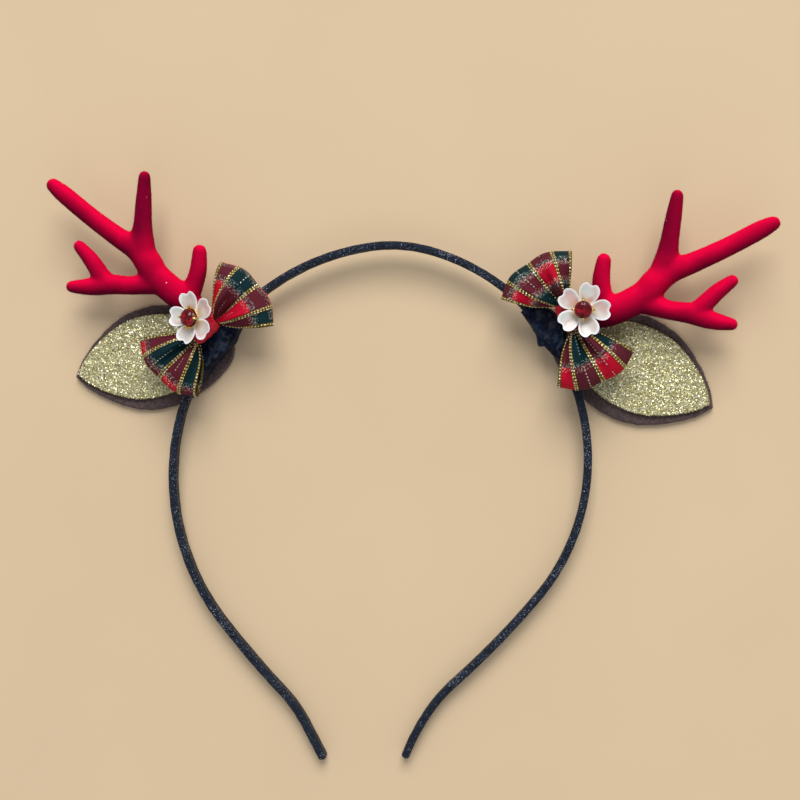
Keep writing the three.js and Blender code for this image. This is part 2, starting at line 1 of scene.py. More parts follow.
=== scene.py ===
# %% [markdown]
# # A christmas headband
# A thin wrapped band carries two felt ears lined with glitter, two red flocked antlers and two tartan bows,
# each with a small pearly flower on its knot. The CAD model fixes where every piece sits, and this lesson
# gives each of them its real surface. Sizes are in millimetres and become metres when a mesh is made.

# %% Load the frame
import math

import bmesh
import bpy
import numpy as np
from mathutils import Matrix, Vector, noise


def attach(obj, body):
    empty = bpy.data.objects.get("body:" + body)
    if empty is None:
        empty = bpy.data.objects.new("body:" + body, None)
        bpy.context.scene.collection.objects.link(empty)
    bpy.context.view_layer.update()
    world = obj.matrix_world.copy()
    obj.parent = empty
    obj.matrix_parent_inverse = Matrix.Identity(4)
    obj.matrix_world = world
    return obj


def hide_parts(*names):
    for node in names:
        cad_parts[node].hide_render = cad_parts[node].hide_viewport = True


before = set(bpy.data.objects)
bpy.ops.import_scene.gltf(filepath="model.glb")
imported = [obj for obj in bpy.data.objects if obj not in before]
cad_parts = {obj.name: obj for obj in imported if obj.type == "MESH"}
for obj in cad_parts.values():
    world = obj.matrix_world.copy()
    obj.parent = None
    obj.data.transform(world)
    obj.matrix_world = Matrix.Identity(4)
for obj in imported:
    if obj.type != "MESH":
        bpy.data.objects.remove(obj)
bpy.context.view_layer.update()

MM = 0.001


# %% [markdown]
# ## Shader and geometry trees in plain arithmetic
# A node tree is easier to read as a sum than as a list of links. A Wire is one output socket, and each sign
# between two wires adds one Math node. Every other node comes from Tree.node, which takes the node's type,
# its settings and what its sockets hold. Shader trees and Geometry Nodes trees share it.


# %% A wire that can be added, multiplied and compared
def math_node(operation, reflected=False):
    """A method that adds one Math node to a wire's tree."""

    def method(wire, *others):
        values = (*others, wire) if reflected else (wire, *others)
        return wire.tree.node("ShaderNodeMath", {"operation": operation}, dict(enumerate(values)))

    return method


class Wire:
    """An output socket that takes part in sums."""

    def __init__(self, tree, socket):
        self.tree = tree
        self.socket = socket

    def also(self, name):
        """Another output of the same node."""
        return Wire(self.tree, self.socket.node.outputs[name])

    __add__ = math_node("ADD")
    __radd__ = math_node("ADD", reflected=True)
    __sub__ = math_node("SUBTRACT")
    __rsub__ = math_node("SUBTRACT", reflected=True)
    __mul__ = math_node("MULTIPLY")
    __rmul__ = math_node("MULTIPLY", reflected=True)
    __truediv__ = math_node("DIVIDE")
    __mod__ = math_node("FLOORED_MODULO")
    __gt__ = math_node("GREATER_THAN")
    __lt__ = math_node("LESS_THAN")
    floor = math_node("FLOOR")
    sine = math_node("SINE")
    size = math_node("ABSOLUTE")
    or_more = math_node("MAXIMUM")


# %% A tree whose nodes come from one method
class Tree:
    """A node tree whose nodes are added one call at a time."""

    def __init__(self, group):
        self.group = group

    def node(self, kind, settings=None, sockets=None, out=0):
        made = self.group.nodes.new(kind)
        for name, value in (settings or {}).items():
            if name == "stops":
                self.set_stops(made.color_ramp.elements, value)
            else:
                setattr(made, name, value)
        for key, value in (sockets or {}).items():
            self.plug(made.inputs[key], value)
        return Wire(self, made.outputs[out])

    def plug(self, socket, value):
        if isinstance(value, Wire):
            self.group.links.new(value.socket, socket)
        else:
            socket.default_value = value

    @staticmethod
    def set_stops(elements, stops):
        while len(elements) < len(stops):
            elements.new(1.0)
        for element, (place, colour) in zip(elements, stops):
            element.position = place
            element.color = (*colour, 1.0)


# %% Finishes: materials on one shader
class Finish(Tree):
    """A material on one Principled shader: constants sit on its sockets, patterns are fed in."""

    def __init__(self, name, constants):
        self.material = bpy.data.materials.new(name)
        self.material.use_nodes = True
        super().__init__(self.material.node_tree)
        self.surface = self.group.nodes["Principled BSDF"]
        self.feed(constants)

    def feed(self, values):
        for socket, value in values.items():
            self.plug(self.surface.inputs[socket], value)

    def place(self):
        return self.node("ShaderNodeTexCoord", out="Object")

    def attribute(self, name):
        return self.node("ShaderNodeAttribute", {"attribute_name": name}, out="Fac")

    def noise(self, grain, detail=2.0):
        """Soft noise with blots of about that many millimetres."""
        sockets = {"Vector": self.place(), "Scale": 1 / (grain * MM), "Detail": detail}
        return self.node("ShaderNodeTexNoise", None, sockets)

    def cells(self, grain, out="Distance"):
        """Cells of about that many millimetres, as the distance from each middle."""
        sockets = {"Vector": self.place(), "Scale": 1 / (grain * MM)}
        return self.node("ShaderNodeTexVoronoi", None, sockets, out)

    def chance(self, grain, channel="Red"):
        """A random number for each cell."""
        return self.node("ShaderNodeSeparateColor", None, {"Color": self.cells(grain, "Color")}, channel)

    def ramp(self, factor, stops):
        return self.node("ShaderNodeValToRGB", {"stops": stops}, {"Fac": factor})

    def dye(self, factor, stops):
        """Colours the surface by a ramp over the factor."""
        self.feed({"Base Color": self.ramp(factor, stops)})

    def mix(self, factor, first, second, blend="MIX"):
        """Mixes two colours; the Mix node takes colours at sockets 6 and 7 and gives one at output 2."""
        settings = {"data_type": "RGBA", "blend_type": blend, "clamp_factor": True}
        return self.node("ShaderNodeMix", settings, {0: factor, 6: first, 7: second}, 2)

    def bump(self, height, depth):
        """Relief of about that many millimetres."""
        sockets = {"Height": height, "Distance": depth * MM, "Strength": 1.0}
        self.feed({"Normal": self.node("ShaderNodeBump", None, sockets)})


# %% [markdown]
# ## Small tools for meshes
# Most pieces here are grids of points bent into shape: rows along the piece and columns across or round it.
# Once the points are known, the faces are always the same bookkeeping, so it is done once.


# %% Grids
def grid_faces(rows, columns, ring_rows=False, ring_columns=False):
    """Quads over a grid of points that are stored row by row."""
    row = np.arange(rows if ring_rows else rows - 1)[:, None]
    column = np.arange(columns if ring_columns else columns - 1)[None, :]
    below = (row + 1) % rows * columns
    beside = (column + 1) % columns
    here = row * columns
    corners = np.broadcast_arrays(here + column, here + beside, below + beside, below + column)
    return np.stack(corners, axis=-1).reshape(-1, 4).tolist()


def end_caps(rows, columns):
    """Two faces that close the first and the last ring of a grid."""
    last = (rows - 1) * columns
    return [list(range(columns))[::-1], list(range(last, last + columns))]


# %% Make a piece, close it and hand it over
MERGE = 0.002
MERGE_FINE = 0.001


def link(name, data):
    """A new object in the scene."""
    made = bpy.data.objects.new(name, data)
    bpy.context.scene.collection.objects.link(made)
    return made


def make_piece(name, points, faces, finish, smooth=True, edges=()):
    """An object from points in millimetres that already stand in the shared frame."""
    mesh = bpy.data.meshes.new(name)
    mesh.from_pydata((np.asarray(points) * MM).tolist(), list(edges), faces)
    if smooth and faces:
        mesh.shade_smooth()
    if finish:
        mesh.materials.append(finish.material)
    return link(name, mesh)


def mend(mesh, apart, flat_within=None):
    """Merges points that meet, joins faces that are flat together if asked, and turns all outwards."""
    work = bmesh.new()
    work.from_mesh(mesh)
    bmesh.ops.remove_doubles(work, verts=work.verts, dist=apart * MM)
    if flat_within:
        angle = math.radians(flat_within)
        bmesh.ops.dissolve_limit(work, angle_limit=angle, verts=work.verts, edges=work.edges)
    bmesh.ops.recalc_face_normals(work, faces=work.faces)
    work.to_mesh(mesh)
    work.free()


def close_up(piece, apart=MERGE):
    """Closes a piece's seams and poles."""
    mend(piece.data, apart)
    return piece


def settle(piece, slot, *nodes):
    """Hands a finished piece over: hides the CAD nodes that it stands for and puts it on the root body.
    The slot is not used.
    """
    if nodes:
        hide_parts(*nodes)
    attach(piece, "root")
    print(f"{piece.name}: {len(piece.data.vertices)} points, {len(piece.data.polygons)} faces")
    return piece


# %% [markdown]
# ## Where the band lies
# The headband rests on its back, leaning a little so that the ears' backs and the band's two feet touch the
# surface together. The band's own plane is read from the CAD band: its flattest direction is the plane's
# normal. The band itself is a chain of arcs, measured from the crown down each leg.

# %% The band's middle line
CROWN_Y = 43.2
BAND_THICK = 2.3
BAND_DEEP = 4.2
BAND_ARCS = {
    "left": [(8.6, 11.9), (140.0, 121.0), (26.2, 5.2), (10, -15), (12.5, -3)],
    "right": [(8.6, 11.9), (120.1, 113.4), (34.0, 7.9), (12, -14), (14.5, -13)],
}
MIRROR = {"left": -1.0, "right": 1.0}


def leg_length(side):
    return sum(length for length, turn in BAND_ARCS[side])


def band_at(side, distance):
    """Middle point and outward direction at a distance from the crown, x counted outwards."""
    x, y, heading = 0.0, CROWN_Y, 0.0
    for length, degrees in BAND_ARCS[side]:
        part = min(distance, length)
        turn = math.radians(degrees) * part / length
        chord = 2 * part / turn * math.sin(turn / 2) if turn else part
        x += chord * math.cos(heading + turn / 2)
        y -= chord * math.sin(heading + turn / 2)
        heading += turn
        distance -= part
    return np.array([x, y, 0.0]), np.array([math.sin(heading), math.cos(heading), 0.0])


def outline_of_band(step=1.0):
    """Points on the band's outer and inner edges, in its own frame."""
    points = []
    for side, sign in MIRROR.items():
        for distance in np.arange(0, leg_length(side) + step, step):
            middle, out = band_at(side, min(distance, leg_length(side)))
            for edge in (-BAND_THICK / 2, BAND_THICK / 2):
                for deep in (-BAND_DEEP / 2, BAND_DEEP / 2):
                    points.append((middle + edge * out) * [sign, 1, 0] + [0, 0, deep])
    return np.array(points)


# %% The band's plane in the shared frame
X, Y, Z = range(3)


def turned(degrees, first, second):
    """A matrix that turns the first axis towards the second."""
    angle = math.radians(degrees)
    matrix = np.eye(3)
    matrix[first, first] = matrix[second, second] = math.cos(angle)
    matrix[second, first] = math.sin(angle)
    matrix[first, second] = -math.sin(angle)
    return matrix


def middle_of(points):
    """The middle of the box round some points."""
    return (points.min(axis=0) + points.max(axis=0)) / 2


cad_band = np.array([v.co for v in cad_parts["band"].data.vertices]) / MM
corners = np.unique(np.round(cad_band, 3), axis=0)
normal = np.linalg.svd(corners - corners.mean(axis=0), full_matrices=False)[2][2]
normal = normal * np.sign(normal[Z])
lean = math.degrees(math.atan2(-normal[Y], normal[Z]))
LEAN = turned(lean, Y, Z)
SHIFT = middle_of(corners) - middle_of(outline_of_band() @ LEAN.T)


def to_shared(points, side="right"):
    """From the band's frame to the shared frame; the left side is drawn as a right one and mirrored."""
    drawn = np.array(points, float)
    drawn[..., X] *= MIRROR[side]
    return drawn @ LEAN.T + SHIFT


def facing(faces, side):
    """Faces for that side, turned round where the piece is mirrored."""
    return faces if MIRROR[side] > 0 else [face[::-1] for face in faces]


print(f"the band leans {lean:.2f} degrees, shifted by {np.round(SHIFT, 2)} mm")

# %% [markdown]
# ## Camera
# The camera stands where the photograph's did: almost square to the band, a little to the right and above,
# and rolled by a few degrees. Its lens follows from the picture's scale and the distance.

# %% The camera at the photograph's angle
VIEW_DISTANCE = 430.0
VIEW_YAW = 7.0
VIEW_PITCH = 3.0
VIEW_ROLL = 4.0
VIEW_CENTRE = np.array([2.9, 0.0, 0.0])
PIXELS_PER_MM = 3.55
PICTURE_WIDE = 800
SENSOR = 36.0
NEAREST = 10.0


def make_camera():
    yaw, pitch, roll = (math.radians(v) for v in (VIEW_YAW, VIEW_PITCH, VIEW_ROLL))
    back = np.array([math.sin(yaw) * math.cos(pitch), math.sin(pitch), math.cos(yaw) * math.cos(pitch)])
    level = np.array([math.cos(yaw), 0.0, -math.sin(yaw)])
    upright = np.cross(back, level)
    right = math.cos(roll) * level + math.sin(roll) * upright
    up = math.cos(roll) * upright - math.sin(roll) * level
    data = bpy.data.cameras.new("camera")
    data.sensor_width = SENSOR
    data.lens = PIXELS_PER_MM * VIEW_DISTANCE / PICTURE_WIDE * SENSOR
    data.clip_start = NEAREST * MM
    made = link("camera", data)
    placed = np.eye(4)
    placed[:3, :3] = np.column_stack([LEAN @ right, LEAN @ up, LEAN @ back])
    placed[:3, 3] = to_shared(VIEW_CENTRE + back * VIEW_DISTANCE) * MM
    made.matrix_world = Matrix(placed.tolist())
    bpy.context.scene.camera = made
    print(f"camera lens {data.lens:.1f} mm, standing at {np.round(placed[:3, 3], 3)} m")


make_camera()

# %% [markdown]
# ## The wrapped band
# The band is a flat spring wound with narrow black ribbon. From the front it looks like a soft cord that
# catches the light in small broken glints. A swept section gives the cord, and noise drawn out along it
# gives the shallow wrinkles of the winding. The glints are painted highlights: pale specks in the colour,
# over a fine bump.


# %% The finish of the winding
def winding_finish():
    wrap = Finish("black_winding", {"Specular IOR Level": 0.24})
    navy = wrap.ramp(wrap.noise(2.2), [(0.3, (0.0035, 0.0085, 0.019)), (0.75, (0.009, 0.018, 0.037))])
    # Pale bluish specks mixed into the colour are painted highlights of the winding.
    patches = 0.3 * (wrap.noise(9.0, detail=1.0) - 0.5)
    glint = wrap.noise(0.32, detail=1.0) + patches > 0.68
    wrap.feed({"Base Color": wrap.mix(glint, navy, (0.34, 0.37, 0.46, 1.0))})
    wrap.feed({"Roughness": 0.26 + 0.5 * wrap.noise(0.7)})
    wrap.bump(wrap.cells(0.6) + wrap.noise(0.3, detail=3.0) * 0.9, depth=0.34)
    return wrap


# %% The swept band
BAND_CORNER = 0.95
BAND_CORNER_STEPS = 6
BAND_STEP = 0.6
WRINKLE = 0.07
WRINKLE_LONG = 2.4
WRINKLE_ROUND = 0.9
FOOT_ROUND = (0.9, 0.7, 0.35)


def rounded(low, high, half, corner, steps):
    """A rounded rectangle as rows of [outwards, upwards]."""
    centres = [
        (high - corner, half - corner),
        (low + corner, half - corner),
        (low + corner, corner - half),
        (high - corner, corner - half),
    ]
    points = []
    for quarter, (x, y) in enumerate(centres):
        for k in range(steps + 1):
            angle = (quarter + k / steps) * math.pi / 2
            points.append((x + corner * math.cos(angle), y + corner * math.sin(angle)))
    return np.array(points)


def ring_at(side, distance, section):
    """A section set across the band, in the band's own frame, x counted outwards."""
    middle, out = band_at(side, distance)
    return middle + section[:, :1] * out + section[:, 1:] * np.array([0.0, 0.0, 1.0])


def wrinkled(section, distance):
    """The section with the small swellings of the winding at that place."""
    spots = [Vector((distance / WRINKLE_LONG, *point)) for point in section * WRINKLE_ROUND]
    swell = [1 + WRINKLE * noise.noise(spot) for spot in spots]
    return section * np.array(swell)[:, None]


def make_band(finish):
    half = BAND_THICK / 2
    section = rounded(-half, half, BAND_DEEP / 2, BAND_CORNER, BAND_CORNER_STEPS)
    rows = []
    for side, sign in MIRROR.items():
        length = leg_length(side)
        stations = np.linspace(0, length - BAND_CORNER, round(length / BAND_STEP))
        leg = [ring_at(side, d, wrinkled(section, sign * d)) * [sign, 1, 1] for d in stations]
        for k, share in enumerate(FOOT_ROUND):
            d = length - BAND_CORNER * (1 - (k + 1) / len(FOOT_ROUND))
            leg.append(ring_at(side, d, section * share) * [sign, 1, 1])
        rows.extend(leg[::-1] if sign < 0 else leg[1:])
    count = len(section)
    faces = grid_faces(len(rows), count, ring_columns=True) + end_caps(len(rows), count)
    band = make_piece("wound_band", to_shared(np.vstack(rows)), faces, finish)
    settle(close_up(band), "wrap", "band")


make_band(winding_finish())

# %% [markdown]
# ## Where the pieces of each side sit
# The two sides were made by hand and differ by a few millimetres and degrees, so each has its own row of
# places. They are the same as in the CAD model: x is counted outwards from the middle, and turns are in
# degrees. A sleeve's rows hold a distance from the crown and how far the cloth swells there to the inside
# and to the outside of the band. Two values are the scene's own: the pile is how bright an antler's flock
# looks on the whole, and the cup is how much wider a gold cup opens at its top.

# %% The two sides
SIDES = {
    "left": {
        "sleeve": [
            (50, 0.8, 1.0), (53, 1.6, 1.6), (57, 2.8, 2.3), (60.5, 3.1, 2.5),
            (64, 2.7, 2.3), (68, 1.9, 1.9), (72, 1.7, 1.3), (75, 1.0, 0.8),
        ],
        "ear_tip": (93.2, -0.6), "ear_turn": -17.4,
        "antler": (54.9, 20.6), "antler_turn": 4.2, "root_reach": 3.0, "pile": 0.47,
        "bow": (52.4, 15.9), "bow_heading": 46,
        "flower": (54.7, 19.0, 10.9), "flower_tilt": 22, "flower_turn": 1, "pad": 0.6, "cup": 0.7,
    },
    "right": {
        "sleeve": [
            (40, 0.9, 1.6), (44, 0.9, 3.4), (48, 1.6, 4.0), (51, 2.7, 3.8),
            (52.2, 1.1, 3.0), (55, 0.8, 1.6), (57, 0.7, 0.8),
        ],
        "ear_tip": (89.8, 4.4), "ear_turn": -22,
        "antler": (54.0, 25.5), "antler_turn": 0, "root_reach": 5.7, "pile": 0.53,
        "bow": (48.0, 26.4), "bow_heading": 55,
        "flower": (52.2, 28.6, 10.0), "flower_tilt": 0, "flower_turn": 3.5, "pad": 0.2, "cup": 0.0,
    },
}


def on_both_sides(make, *finishes):
    """Makes a piece for the left side and then for the right one."""
    for side in SIDES:
        make(side, *finishes)


# %% [markdown]
# ## The sleeves
# Where an ear is fixed, a scrap of black cloth is folded round the band and soaked with glue. It is lumpy,
# and it shines where the glue has pooled on its upper faces. A swept section that swells beside the band
# gives the fold, and two scales of noise give the lumps. Each point keeps how far it faces up, so that the
# coat of glue lies on top alone.


# %% Sleeve finish
def sleeve_finish():
    glue = Finish("glued_cloth", {"Specular IOR Level": 0.06, "Coat Roughness": 0.14, "Coat IOR": 1.42})
    # The lightest, bluish stop of this ramp paints glints: painted highlights in the black cloth's colour.
    blacks_and_painted_glints = [(0.35, (0.001, 0.003, 0.012)), (0.54, (0.003, 0.009, 0.028)), (0.68, (0.022, 0.036, 0.066))]
    glue.dye(glue.noise(3.0), blacks_and_painted_glints)
    pools = glue.ramp(glue.noise(1.8, detail=1.0), [(0.46, (0.12, 0.12, 0.12)), (0.6, (1, 1, 1))])
    glue.feed({"Coat Weight": pools * glue.attribute("upwards") * 0.9})
    glue.feed({"Roughness": 0.3 + 0.4 * glue.noise(2.0)})
    glue.bump(glue.noise(2.2) + glue.noise(0.5) * 0.1, depth=1.2)
    return glue


# %% Curves through a table, and notes on points
def through(table, count):
    """A smooth curve through the rows of a table, at count + 1 even steps."""
    rows = np.array(table, float)
    last = len(rows) - 1
    place = np.linspace(0, last, count + 1)
    start = np.minimum(place.astype(int), last - 1)
    t = (place - start)[:, None]
    a, b, c, d = (rows[np.clip(start + k, 0, last)] for k in (-1, 0, 1, 2))
    bend = (2 * a - 5 * b + 4 * c - d) * t**2
    return 0.5 * (2 * b + (c - a) * t + bend + (3 * b - a - 3 * c + d) * t**3)


def unit(vectors):
    return vectors / np.linalg.norm(vectors, axis=-1, keepdims=True)


def note(mesh, **values):
    """Keeps a number for each point under a name that a finish can read."""
    for name, numbers in values.items():
        mesh.attributes.new(name, "FLOAT", "POINT").data.foreach_set("value", numbers)


# %% Sleeve shape
SLEEVE_WALL = 1.0
SLEEVE_GAP = 0.25
SLEEVE_CORNER = 1.6
SLEEVE_TAPER = 0.45
SLEEVE_TAPER_POWER = 8
SLEEVE_ROWS = 72
LUMP = 0.45
LUMP_LONG = 2.6
LUMP_ROUND = 2.2
FINE_LUMP = 0.12
FINE_LUMPS = 2.7
SOFT_STEPS = 8


def lumpy(section, distance):
    """The section pushed in and out by the lumps at that place."""
    lumps = []
    for point in section:
        spot = Vector((distance / LUMP_LONG, *(point / LUMP_ROUND)))
        lumps.append(LUMP * noise.noise(spot) + FINE_LUMP * noise.noise(spot * FINE_LUMPS))
    return section + unit(section - section.mean(axis=0)) * np.array(lumps)[:, None]


def make_sleeve(side, finish):
    table = through(SIDES[side]["sleeve"], SLEEVE_ROWS)
    half = BAND_THICK / 2 + SLEEVE_GAP
    deep = BAND_DEEP / 2 + SLEEVE_GAP
    bore = rounded(-half, half, deep, BAND_CORNER, SOFT_STEPS)
    outer_rows = []
    inner_rows = []
    for k, (distance, inside, outside) in enumerate(table):
        taper = 1 - SLEEVE_TAPER * (2 * k / SLEEVE_ROWS - 1) ** SLEEVE_TAPER_POWER
        high = deep + SLEEVE_WALL * taper
        section = rounded(-half - inside * taper, half + outside * taper, high, SLEEVE_CORNER, SOFT_STEPS)
        outer_rows.append(ring_at(side, distance, lumpy(section, distance)))
        inner_rows.append(ring_at(side, distance, bore))
    rows = outer_rows + inner_rows[::-1]
    faces = facing(grid_faces(len(rows), len(bore), ring_rows=True, ring_columns=True), side)
    sleeve = close_up(make_piece(f"{side}_glued_sleeve", to_shared(np.vstack(rows), side), faces, finish))
    note(sleeve.data, upwards=[max(v.normal.z, 0.0) ** 2 for v in sleeve.data.vertices])
    settle(sleeve, "sleeve", f"{side}_sleeve")


on_both_sides(make_sleeve, sleeve_finish())

# %% [markdown]
# ## Recipes for what repeats
# Fibres, glitter flakes and gold dots repeat in their thousands with only their turn and size changed, so
# Geometry Nodes make them. A Recipe is a tree with named sizes and a fixed seed. It is run once on a source
# object, the copies are made real, and what is kept is a plain mesh.


# %% Recipes: trees that are run once
def plain_mesh(source):
    """A mesh of its own from an object with its modifiers applied."""
    graph = bpy.context.evaluated_depsgraph_get()
    return bpy.data.meshes.new_from_object(source.evaluated_get(graph))


DRAWS = {"tilt": 1, "size": 2, "lift": 3, "tone": 7}


class Recipe(Tree):
    """A Geometry Nodes tree with named sizes that is run once to give a plain mesh."""

    def __init__(self, name, sizes):
        super().__init__(bpy.data.node_groups.new(name, "GeometryNodeTree"))
        face = self.group.interface
        face.new_socket("Geometry", in_out="INPUT", socket_type="NodeSocketGeometry")
        face.new_socket("Geometry", in_out="OUTPUT", socket_type="NodeSocketGeometry")
        self.sockets = {}
        for label, value in sizes.items():
            kind = "NodeSocketInt" if isinstance(value, int) else "NodeSocketFloat"
            socket = face.new_socket(label, in_out="INPUT", socket_type=kind)
            socket.default_value = value
            self.sockets[label] = socket.identifier
        self.inputs = self.group.nodes.new("NodeGroupInput")
        self.source = self.given("Geometry")

    def given(self, label):
        return Wire(self, self.inputs.outputs[label])

    def random(self, low, high, draw):
        """A random number, or three, for each point; every kind of draw has a seed of its own."""
        vector = isinstance(low, tuple)
        first = 0 if vector else 2
        sockets = {first: low, first + 1: high, "Seed": self.given("Seed") + DRAWS[draw]}
        kind = "FLOAT_VECTOR" if vector else "FLOAT"
        return self.node("FunctionNodeRandomValue", {"data_type": kind}, sockets, 0 if vector else 1)

    def scaled(self, vector, factor):
        return self.node("ShaderNodeVectorMath", {"operation": "SCALE"}, {"Vector": vector, "Scale": factor})

    def scatter(self, shape, spin, scales, lift, finish):
        """Copies of a shape all over the source's faces, each tilted, spun, scaled and lifted at random."""
        cloud = self.node(
            "GeometryNodeDistributePointsOnFaces",
            {"distribute_method": "RANDOM"},
            {
                "Mesh": self.source,
                "Density": self.given("Per square mm") / (MM * MM),
                "Seed": self.given("Seed"),
            },
            "Points",
        )
        tilt = self.scaled(self.random((-1, -1, -spin), (1, 1, spin), "tilt"), self.given("Tilt"))
        turned = self.node(
            "FunctionNodeRotateRotation",
            {"rotation_space": "LOCAL"},
            {"Rotation": cloud.also("Rotation"), "Rotate By": tilt},
        )
        low, high = lift
        offset = self.scaled(cloud.also("Normal"), self.random(low * MM, high * MM, "lift"))
        lifted = self.node("GeometryNodeSetPosition", None, {"Geometry": cloud, "Offset": offset})
        self.serve(lifted, shape, turned, scales, finish)

    def serve(self, points, shape, rotation, scales, finish):
        """A copy on each point with a random tone; the copies are made real and get their finish."""
        size = self.random(*scales, "size")
        spread = self.node(
            "GeometryNodeInstanceOnPoints",
            None,
            {"Points": points, "Instance": shape, "Rotation": rotation, "Scale": size},
        )
        toned = self.node(
            "GeometryNodeStoreNamedAttribute",
            {"data_type": "FLOAT", "domain": "INSTANCE"},
            {"Geometry": spread, "Name": "tone", "Value": self.random(0.0, 1.0, "tone")},
        )
        real = self.node("GeometryNodeRealizeInstances", None, {"Geometry": toned})
        painted = self.node("GeometryNodeSetMaterial", None, {"Geometry": real, "Material": finish.material})
        end = self.group.nodes.new("NodeGroupOutput")
        self.group.links.new(painted.socket, end.inputs["Geometry"])

    def run(self, source, name, **sizes):
        modifier = source.modifiers.new("recipe", "NODES")
        modifier.node_group = self.group
        for label, value in sizes.items():
            modifier[self.sockets[label]] = value
        made = link(name, plain_mesh(source))
        source.modifiers.remove(modifier)
        return made


# %% [markdown]
# ## The felt ears
# Each ear is a leaf cut from dark brown felt about two millimetres thick. Felt is soft: its cut edge is
# rounded and a little uneven, and fibres stand off it. The leaf is a grid whose two faces meet at the edge.
# The fibres are thin slips scattered by Geometry Nodes, because thousands of them repeat with only their
# turn and size changed.


# %% Felt and its fibres
def felt_finish():
    felt = Finish("brown_felt", {"Roughness": 0.95, "Sheen Weight": 0.1, "Sheen Roughness": 0.6})
    felt.dye(felt.noise(0.9, detail=4.0), [(0.3, (0.048, 0.029, 0.029)), (0.72, (0.132, 0.084, 0.082))])
    felt.bump(felt.noise(0.35, detail=4.0) + felt.noise(1.6), depth=0.3)
    return felt


def felt_fibre_finish():
    fibre = Finish("felt_fibre", {"Roughness": 0.9, "Sheen Weight": 0.2})
    fibre.dye(fibre.attribute("tone"), [(0.0, (0.05, 0.027, 0.023)), (1.0, (0.18, 0.11, 0.096))])
    return fibre


FIBRE_SIDES = 3
FIBRE_SPIN = 3
FIBRE_SCALES = (0.5, 1.2)
FELT_FIBRES = {"Per square mm": 5.0, "Length": 0.55, "Width": 0.03, "Tilt": 1.0, "Seed": 4}


def fibre_recipe(name, sizes, finish):
    """Short tapering fibres scattered over a surface, each leaning its own way."""
    recipe = Recipe(name, sizes)
    slip = recipe.node(
        "GeometryNodeMeshCone",
        {"fill_type": "NONE"},
        {
            "Vertices": FIBRE_SIDES,
            "Radius Top": 0.0,
            "Radius Bottom": recipe.given("Width") * MM,
            "Depth": recipe.given("Length") * MM,
        },
        "Mesh",
    )
    recipe.scatter(slip, FIBRE_SPIN, FIBRE_SCALES, (0, 0), finish)
    return recipe


# %% The ear leaf
EAR_THICK = 2.0
EAR_HALF = [
    (0, 0), (0.5, 3.8), (2.6, 7.0), (8, 10.8), (15, 13.7), (22, 14.9),
    (29, 14.3), (34.5, 12.1), (40.2, 8.5), (45, 4.2), (48, 0),
]
EAR_LENGTH = EAR_HALF[-1][0]
EAR_EDGE = 0.9
EAR_ROWS = 90
EAR_COLUMNS = 46
CUT_WOBBLE = 0.22
CUT_LONG = 2.2
CUT_FADE = 4
EDGES_APART = 5
FELT_WAVE = 0.07
FELT_WAVE_LONG = 3.5
FELT_WAVE_PLANE = 2.0
LEAF = through(EAR_HALF, EAR_ROWS)


def ear_to_shared(points, side):
    """From an ear's own frame, base at zero and tip along x, to the shared frame; ears lie flat."""
    spec = SIDES[side]
    placed = (points - [EAR_LENGTH, 0, 0]) @ turned(spec["ear_turn"], X, Y).T + [*spec["ear_tip"], 0]
    placed[:, X] *= MIRROR[side]
    return placed + [SHIFT[X], SHIFT[Y], 0]


def two_sided(faces, count):
    """Faces of an upper grid of count points and, turned round, of the lower grid that follows it."""
    return faces + [[count + corner for corner in face[::-1]] for face in faces]


def ear_points():
    """The upper and the lower face of the leaf, row by row from its base to its tip."""
    across = np.sin(np.linspace(-math.pi / 2, math.pi / 2, EAR_COLUMNS + 1))
    top = []
    under = []
    for x, half in LEAF:
        half = max(half, 0.0)
        for t in across:
            spot = Vector((x / CUT_LONG, np.sign(t) * EDGES_APART, 0))
            uneven = CUT_WOBBLE * noise.noise(spot) * min(1, half / CUT_FADE)
            y = t * (half + uneven)
            edge = min((1 - abs(t)) * half / EAR_EDGE, 1)
            swell = EAR_THICK / 2 * math.sqrt(1 - (1 - edge) ** 2)
            spot = Vector((x / FELT_WAVE_LONG, y / FELT_WAVE_LONG, FELT_WAVE_PLANE))
            wave = FELT_WAVE * noise.noise(spot) * edge
            top.append((x, y, EAR_THICK / 2 + swell + wave))
            under.append((x, y, EAR_THICK / 2 - swell))
    return np.array(top + under)


# %% Cut the ears and raise their fibres
def make_ear(side, finish, fibres):
    points = ear_points()
    faces = two_sided(grid_faces(EAR_ROWS + 1, EAR_COLUMNS + 1), len(points) // 2)
    ear = close_up(make_piece(f"{side}_felt_ear", ear_to_shared(points, side), faces, finish))
    fuzz = settle(fibres.run(ear, f"{side}_felt_fuzz"), "felt")
    settle(ear, "felt", f"{side}_ear")


felt_fibres = fibre_recipe("felt_fibres", FELT_FIBRES, felt_fibre_finish())
on_both_sides(make_ear, felt_finish(), felt_fibres)

# %% [markdown]
# ## The glitter linings
# A thinner leaf of pale gold glitter sheet lies on each ear and stops short of the sleeve. The sheet is a
# copy of the CAD leaf with softened edges. Glitter is thousands of tiny six-sided flakes set in glue at odd
# tilts, and that is how it is made here. Painted sparkle would stay put when the light moves; real flakes
# flash one by one.


# %% Glitter sheet and flakes
def sheet_finish():
    sheet = Finish("glitter_sheet", {"Roughness": 0.45, "Metallic": 0.3})
    golds = [(0.0, (0.2, 0.17, 0.06)), (0.5, (0.42, 0.38, 0.17)), (1.0, (0.6, 0.56, 0.3))]
    sheet.dye(sheet.chance(0.4), golds)
    sheet.bump(sheet.cells(0.4), depth=0.15)
    return sheet


def flake_finish():
    flake = Finish("glitter_flake", {"Metallic": 0.45, "Roughness": 0.28})
    golds = [
        (0.0, (0.24, 0.2, 0.07)),
        (0.4, (0.5, 0.45, 0.2)),
        (0.8, (0.72, 0.68, 0.4)),
        (1.0, (0.95, 0.94, 0.8)),
    ]
    flake.dye(flake.attribute("tone"), golds)
    return flake


